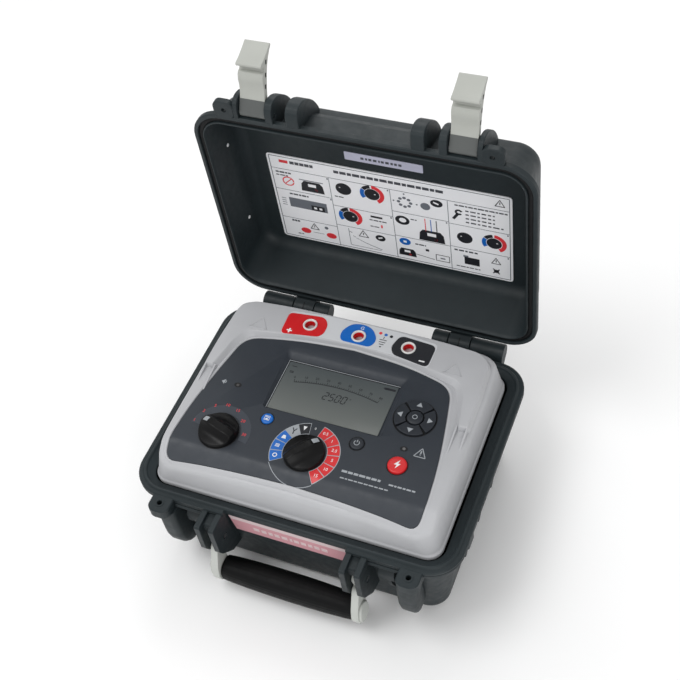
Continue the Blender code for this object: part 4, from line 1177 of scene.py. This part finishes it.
def card_grid(card):
    """Field lines, heading and the sign in the corner."""
    card.frame_at(0.0, 102.5, 236.0, 110.5, 0.8)
    for x in (-58.6, 3.0, 59.2):
        card.box_at("line", x, 93.5, 0.6, 95.0)
    card.box_at("line", 0.0, 141.6, 236.0, 0.6)
    for x0, x1, s in ((-118.0, -58.6, 113.6), (-118.0, -58.6, 73.6), (-58.6, 3.0, 104.6),
                      (-58.6, 3.0, 77.4), (3.0, 59.2, 113.0), (3.0, 59.2, 79.0), (59.2, 118.0, 111.5),
                      (59.2, 118.0, 80.0)):
        card.box_at("line", (x0 + x1) / 2, s, x1 - x0, 0.6)
    card.box_at("red", -103.5, 152.0, 9.0, 3.6)
    card.words(-97.0, -73.0, 152.0, 3.6, 0.7, (4.6, 4.2, 4.4))
    card.words(-52.0, 56.0, 151.0, 3.4, 1.1, (5.0, 6.4, 4.2, 7.2))
    card.sign(109.0, 150.0, 9.0)


def card_left(card):
    """Left column: a struck-out ring, the tester, a wide unit and two red plugs."""
    card.words(-114.0, -98.0, 137.0)
    card.words(-114.0, -101.0, 133.0, 1.4)
    card.oval("red", -102.4, 126.0, 6.2, 6.0, 0.0, 360.0, 0.8)
    card.box_at("red", -102.4, 126.0, 9.6, 1.0, 45.0)
    card.box_at("mid", -78.0, 131.6, 25.0, 1.0)
    card.tester(-77.6, 124.2, 24.0)
    card.box_at("line", -86.0, 97.0, 40.0, 13.0)
    card.box_at("mid", -90.0, 98.5, 22.0, 4.0)
    card.box_at("dark", -75.8, 94.5, 14.0, 6.6)
    card.box_at("paper", -78.6, 94.5, 3.0, 2.6)
    card.box_at("paper", -73.0, 94.5, 3.0, 2.6)
    card.words(-104.0, -84.0, 109.0)
    for s in (92.0, 95.0, 98.0, 101.0):
        card.box_at("mid", -111.6, s, 5.0, 0.7)
    card.words(-108.0, -98.0, 70.4, 2.4, 0.6, (2.4, 2.6))
    card.sign(-84.0, 66.6, 9.0)
    card.oval("mid", -71.0, 68.0, 2.0, 2.0)
    card.oval("red", -94.4, 58.4, 5.4, 3.8)
    card.oval("red", -66.8, 57.8, 5.4, 3.8)
    card.words(-104.0, -98.0, 52.0, 1.2)
    card.box_at("line", -80.6, 58.0, 12.0, 0.5)


def card_second(card):
    """Second column: the knobs, a dial with its key, a falling curve and a sign."""
    card.small_knob(-44.6, 129.8, 8.0)
    card.range_dial(-15.6, 129.8, 7.6)
    card.words(-55.0, -46.0, 118.0, 1.2)
    card.range_dial(-42.0, 92.6, 7.6)
    card.box_at("dark", -14.4, 99.0, 12.0, 2.4)
    card.words(-22.0, -4.0, 94.0, 1.4)
    card.box_at("red", -10.0, 87.0, 1.6, 4.0)
    card.words(-22.0, -12.0, 85.0, 1.2)
    card.box_at("line", -46.4, 63.0, 0.6, 24.0)
    for i in range(10):
        t = i / 9.0
        card.box_at("mid", -44.6 + 30.0 * t, 70.0 - 17.0 * math.sqrt(t), 3.4, 0.6, -28.0 + 14.0 * t)
    card.box_at("line", -30.0, 51.0, 32.0, 0.5)
    card.sign(-31.0, 70.6, 10.0)
    card.oval("dark", -13.2, 69.6, 5.2, 4.2)
    card.box_at("paper", -13.2, 70.0, 4.6, 1.6, 20.0)


def card_third(card):
    """Third column: a ring of keys, three leads into the tester and linked boxes."""
    for i in range(8):
        a = math.radians(45 * i)
        card.oval("mid", 16.8 + 6.0 * math.cos(a), 127.8 + 5.8 * math.sin(a), 1.8, 1.6)
    for dx, ds in ((12.0, 0.0), (-11.0, 0.0), (0.0, 11.0)):
        card.box_at("mid", 16.8 + dx, 127.8 + ds, 1.6, 1.6, 45.0)
    card.oval("mid", 37.2, 127.6, 4.8, 4.6)
    card.oval("dark", 48.4, 134.4, 6.0, 4.6)
    card.box_at("paper", 48.0, 134.6, 5.4, 1.8, -20.0)
    card.oval("dark", 12.4, 102.4, 7.2, 6.0)
    card.oval("paper", 12.8, 102.8, 3.6, 3.0)
    card.words(21.0, 27.0, 106.0, 1.2)
    card.tester(41.0, 88.0, 26.0)
    for x, ink in ((35.4, "red"), (41.0, "blue"), (46.6, "dark")):
        card.box_at(ink, x, 102.0, 0.8, 17.0)
    card.oval("blue", 12.6, 72.4, 5.8, 4.8)
    card.box_at("paper", 12.6, 72.4, 3.2, 2.8)
    card.words(23.0, 34.0, 72.0, 1.6)
    card.tester(14.0, 57.6, 18.0)
    card.box_at("dark", 35.0, 66.0, 3.4, 3.0)
    for x, s, w, h, spin in ((50.4, 62.6, 14.0, 0.6, 0.0), (50.4, 54.2, 14.0, 0.6, 0.0),
                             (43.6, 58.4, 0.6, 8.6, 0.0), (57.2, 58.4, 0.6, 8.6, 0.0),
                             (31.0, 56.0, 22.0, 0.5, -8.0)):
        card.box_at("dark", x, s, w, h, spin)
    card.box_at("mid", 50.4, 58.2, 5.0, 1.6)


def card_right(card):
    """Right column: a spanner and list, both knobs, a dark box and a crossed-out bin."""
    card.box_at("dark", 66.6, 123.0, 2.8, 10.0, -32.0)
    card.oval("dark", 69.6, 128.6, 3.8, 3.6, 20.0, 320.0, 0.45)
    card.words(66.0, 116.0, 137.6, 1.6)
    for s in (132.0, 127.0, 122.0, 117.0):
        card.words(76.0, 76.0 + (28.0 if s > 118 else 36.0), s, 1.6, 1.6)
    card.small_knob(74.0, 95.0, 7.6)
    card.range_dial(102.6, 95.2, 7.4)
    card.words(63.0, 88.0, 76.0, 2.0, 1.2)
    card.box_at("dark", 80.0, 63.0, 15.0, 10.0)
    card.box_at("mid", 74.0, 69.0, 5.0, 2.4)
    card.words(64.0, 88.0, 53.0, 1.2)
    card.sign(104.0, 70.4, 9.0)
    card.box_at("dark", 104.0, 56.0, 9.0, 1.2, 45.0)
    card.box_at("dark", 104.0, 56.0, 9.0, 1.2, -45.0)
    card.box_at("dark", 104.0, 56.0, 5.0, 4.4)


def card_numbers(card):
    """Small marks in the corners of the fields."""
    for x, s in ((-60.0, 139.4), (-60.0, 111.4), (1.0, 139.4), (1.0, 102.4), (57.0, 110.8),
                 (116.0, 109.4), (116.0, 77.8)):
        card.box_at("mid", x, s, 1.4, 1.8)


def build_card():
    """Instruction card and strip label on the lid floor."""
    board = filleted(box(-120.5, 120.5, 45.0, 160.0), 4.0)
    piece("card_sheet", card_patch(board), PAPER, "lid", ("instruction_card",))
    strip = filleted(box(-38.0, 38.0, 170.0, 179.8), 1.0)
    piece("strip_sheet", card_patch(strip, 50.9, 51.5), LILAC, "lid", ("lid_strip_label",))
    card = CardPrint()
    for draw in (card_grid, card_left, card_second, card_third, card_right, card_numbers):
        draw(card)
    for tag, paint, slot in (("line", PALE_LINE, "overlay_slate"), ("dark", DARK_PRINT, "knob_black"),
                             ("mid", PALE_LINE, "overlay_slate"), ("words", WORDS, "overlay_slate"),
                             ("red", RED_PRINT, "signal_red"),
                             ("blue", BLUE, "signal_blue"), ("paper", PAPER, "card_paper")):
        piece("card_print_" + tag, card.inks[tag], paint, "lid", slot=slot)
    ink = bmesh.new()
    x = -22.0
    for width in (4.0, 2.6, 3.8, 4.6, 2.0, 3.6, 4.4, 3.0, 3.4, 4.0):
        card_patch(box(x, x + width * 0.75, 173.4, 176.0), 50.75, 50.95, ink)
        x += width + 0.6
    piece("strip_print", ink, WORDS, "lid")


# Latches and handle ------------------------------------------------------------------------------

def build_latches():
    """Each latch is drawn shut: distance down the arm, then outward from the wall."""
    shape = ((-2.7, -2.7), (0.0, -3.7), (5.0, -3.2), (10.0, -2.2), (19.0, -1.8), (24.0, -2.4),
             (28.0, -3.8), (31.0, -4.5), (34.0, -4.6), (36.6, -3.8), (37.8, -2.2), (38.4, -1.0),
             (40.6, -0.8), (42.0, -2.6), (42.5, -6.6), (43.4, -7.8), (44.8, -7.8), (46.2, -6.4),
             (47.6, -3.8), (49.2, -1.2), (51.4, 1.6), (54.0, 4.8), (56.6, 7.8), (58.8, 10.0),
             (59.4, 11.4), (58.6, 12.2), (57.2, 12.0), (53.0, 9.2), (48.0, 6.8), (42.0, 5.0), (34.0, 3.8),
             (24.0, 3.5), (8.0, 4.0), (0.0, 4.3), (-2.9, 2.9), (-3.8, 0.0))
    for side, tag in ((1, "right"), (-1, "left")):
        x0, x1 = span(side, 82.4, 106.0)
        points = [(LATCH[0] - out, LATCH[1] - down) for down, out in shape]
        body = carve(bar(points, x0, x1), [rod_x(2.1, x0 - 2, x1 + 2, *LATCH)])
        piece(f"latch_{tag}_body", body, LATCH_GREY, f"latch_{tag}", (f"latch_{tag}",), bevel=0.5,
              angle=28, steps=2)
        # The root of each arm takes the darker grey as painted shade, for the shadow between the latch
        # housings.
        cap = ((-2.6, -3.4), (0.0, -4.2), (5.0, -3.6), (10.0, -2.7), (12.4, -2.5), (12.4, 5.0),
               (8.0, 5.0), (0.0, 5.3), (-3.6, 4.4), (-5.0, 0.0))
        sleeve = [(LATCH[0] - out, LATCH[1] - down) for down, out in cap]
        low, high = span(side, 82.2, 106.2)
        sleeve = carve(bar(sleeve, low, high), [rod_x(2.1, low - 2, high + 2, *LATCH)])
        piece(f"latch_{tag}_root", sleeve, LATCH_ROOT_SHADE, f"latch_{tag}", bevel=0.5, angle=28)
        # Dark patches on the latch sides: painted shade standing for the shadowed finger openings.
        slot_shadows = bmesh.new()
        for down, out in ((25.0, 0.6), (35.0, 1.2), (46.0, 2.2)):
            for x in (x0, x1):
                skin(slot_shadows, [[Vector((x + dx, LATCH[0] - out - dy, LATCH[1] - down - dz)) for dy, dz in
                              box(-1.1, 1.1, -1.9, 1.9)] for dx in (-0.12, 0.12)])
        piece(f"latch_{tag}_slots", slot_shadows, RIM_DARK, f"latch_{tag}")
        ribs = bmesh.new()
        for x in (x0 + 4.0, (x0 + x1) / 2, x1 - 4.0):
            skin(ribs, [[Vector((x + dx, LATCH[0] - out, LATCH[1] - down)) for down,
                         out in ((9.0, 3.6), (9.0, 4.6), (24.0, 4.4), (40.0, 5.2), (50.0, 7.4),
                                 (50.0, 6.0), (40.0, 3.8))] for dx in (-0.6, 0.6)])
        piece(f"latch_{tag}_ribs", ribs, LATCH_GREY, f"latch_{tag}", bevel=0.3)


def build_handle():
    for side, tag in ((1, "right"), (-1, "left")):
        upper = arc(*PIVOT, 7.0, 0, 180, 18)
        lower = filleted(((-131.6, -40.0), (-136.6, -53.0), (-141.6, -66.0), (-143.5, -79.0),
                          (-139.5, -90.5), (-131.0, -93.0), (-123.4, -89.4), (-121.0, -79.0),
                          (-123.4, -64.0), (-117.4, -42.0)), 4.0, 4)
        x0, x1 = span(side, 66.2, 73.4)
        arm = carve(bar(upper + lower, x0, x1), [rod_x(2.8, x0 - 2, x1 + 2, *PIVOT)])
        piece(f"handle_{tag}_cheek", arm, HANDLE_GREY, "handle", (f"handle_arm_{tag}",), bevel=0.9,
              angle=28, steps=3)
        flare = filleted(((-139.4, -64.0), (-142.0, -79.0), (-138.0, -89.0), (-131.0, -91.2),
                          (-125.0, -88.0), (-122.8, -79.0), (-126.4, -66.0), (-132.0, -62.0)), 4.0, 4)
        x0, x1 = span(side, 73.0, 75.8)
        piece(f"handle_{tag}_flare", bar(flare, x0, x1), HANDLE_GREY, "handle", bevel=1.0, angle=28,
              steps=4)
        boss = rod_x(5.0, min(73.0 * side, 73.9 * side), max(73.0 * side, 73.9 * side), *PIVOT)
        piece(f"handle_{tag}_boss", boss, HANDLE_GREY, "handle", bevel=0.3)
    count = 96
    rows = []
    for x, scale in ((-65.7, 0.82), (-65.2, 0.86), (-63.6, 0.89), (-56.0, 0.93), (-40.0, 0.985),
                     (-20.0, 1.02), (0.0, 1.03), (20.0, 1.02), (40.0, 0.985), (56.0, 0.93), (63.6, 0.89),
                     (65.2, 0.86), (65.7, 0.82)):
        points = []
        for i in range(count):
            a = 2 * math.pi * i / count
            deg = math.degrees(a)
            c, s = math.cos(a), math.sin(a)
            ry, rz = 12.6, 13.4
            power = 2.35
            r = (abs(c / ry) ** power + abs(s / rz) ** power) ** (-1 / power)
            cut = 2.6 * math.exp(-((deg - 214.0) / 3.2) ** 2)
            for ridge in (100.0, 115.0, 130.0, 145.0, 160.0, 175.0):
                cut += 0.22 * math.exp(-((deg - ridge) / 2.6) ** 2)
            cut += 0.9 * math.exp(-((deg - 318.0) / 3.0) ** 2)
            r = (r - cut) * scale
            points.append(Vector((x, -130.3 + r * c, -79.5 + r * s)))
        rows.append(points)
    piece("handle_grip_sleeve", loft(rows), RUBBER, "handle", ("handle_grip",), angle=50)


# Carried-over CAD nodes --------------------------------------------------------------------------

KEPT = {"feet": RUBBER, "case_screw": STEEL, "handle_pin": STEEL, "hinge_pin": STEEL, "latch_pin": STEEL,
        "terminal_contact": BRASS, "display_module": KNOB, "main_board": BOARD, "rotary_switch": KNOB,
        "high_voltage_transformer": COPPER, "battery_pack": CELL, "storage_capacitor": KNOB,
        "buzzer": RIM_DARK, "status_lens": LENS, "foot_": RUBBER}


def dress_cad_nodes():
    for name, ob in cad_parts.items():
        for key, paint in KEPT.items():
            if key in name:
                ob.data.materials.clear()
                ob.data.materials.append(paint)


# Studio ------------------------------------------------------------------------------------------

def area_light(name, place, target, size, power):
    """Square soft light that looks from one place to another."""
    data = bpy.data.lights.new(name, "AREA")
    data.shape = "SQUARE"
    data.size = size
    data.energy = power
    ob = bpy.data.objects.new(name, data)
    ob.location = place
    ob.rotation_euler = (Vector(target) - Vector(place)).to_track_quat("-Z", "Y").to_euler()
    bpy.context.scene.collection.objects.link(ob)


def build_studio():
    """Pale floor and plain soft light from three sides."""
    bm = bmesh.new()
    for x, y in box(-6, 6, -6, 6):
        bm.verts.new((x, y, -0.0005))
    bm.faces.new(bm.verts)
    mesh = bpy.data.meshes.new("studio_floor")
    bm.to_mesh(mesh)
    bm.free()
    floor_paint = Paint("studio_floor", (250, 250, 250), 0.7)
    floor_paint.mottle(3.0, 0.01)
    mesh.materials.append(floor_paint.material)
    floor = bpy.data.objects.new("studio_floor", mesh)
    bpy.context.scene.collection.objects.link(floor)
    world = bpy.data.worlds.new("studio")
    world.use_nodes = True
    world.node_tree.nodes["Background"].inputs["Color"].default_value = (1.0, 1.0, 1.0, 1.0)
    world.node_tree.nodes["Background"].inputs["Strength"].default_value = 0.66
    bpy.context.scene.world = world
    bpy.context.scene.view_settings.view_transform = "Standard"
    area_light("key", (-0.7, -0.5, 1.9), (0.0, 0.0, 0.15), 1.0, 14.0)
    area_light("fill", (1.0, -1.5, 0.9), (0.0, 0.1, 0.2), 1.2, 8.0)
    area_light("back", (-0.3, 1.4, 1.5), (0.0, 0.0, 0.2), 1.0, 9.0)


def build_camera():
    """Camera above the front right corner, rolled a little."""
    azimuth, elevation, roll = math.radians(29.28), math.radians(49.76), math.radians(-9.76)
    back = Vector((math.sin(azimuth) * math.cos(elevation), -math.cos(azimuth) * math.cos(elevation),
                   math.sin(elevation)))
    level = Vector((math.cos(azimuth), math.sin(azimuth), 0.0))
    up = back.cross(level)
    right = math.cos(roll) * level + math.sin(roll) * up
    over = -math.sin(roll) * level + math.cos(roll) * up
    data = bpy.data.cameras.new("camera")
    data.sensor_width = 36.0
    data.lens = 61.54
    data.clip_end = 20.0
    ob = bpy.data.objects.new("camera", data)
    matrix = Matrix((right, over, back)).transposed().to_4x4()
    matrix.translation = (0.3315, -0.5494, 0.9840)
    ob.matrix_world = matrix
    bpy.context.scene.collection.objects.link(ob)
    bpy.context.scene.camera = ob


build_case()
build_deck()
build_controls()
build_lid()
build_latches()
build_handle()
dress_cad_nodes()
build_studio()
build_camera()

bpy.context.view_layer.update()
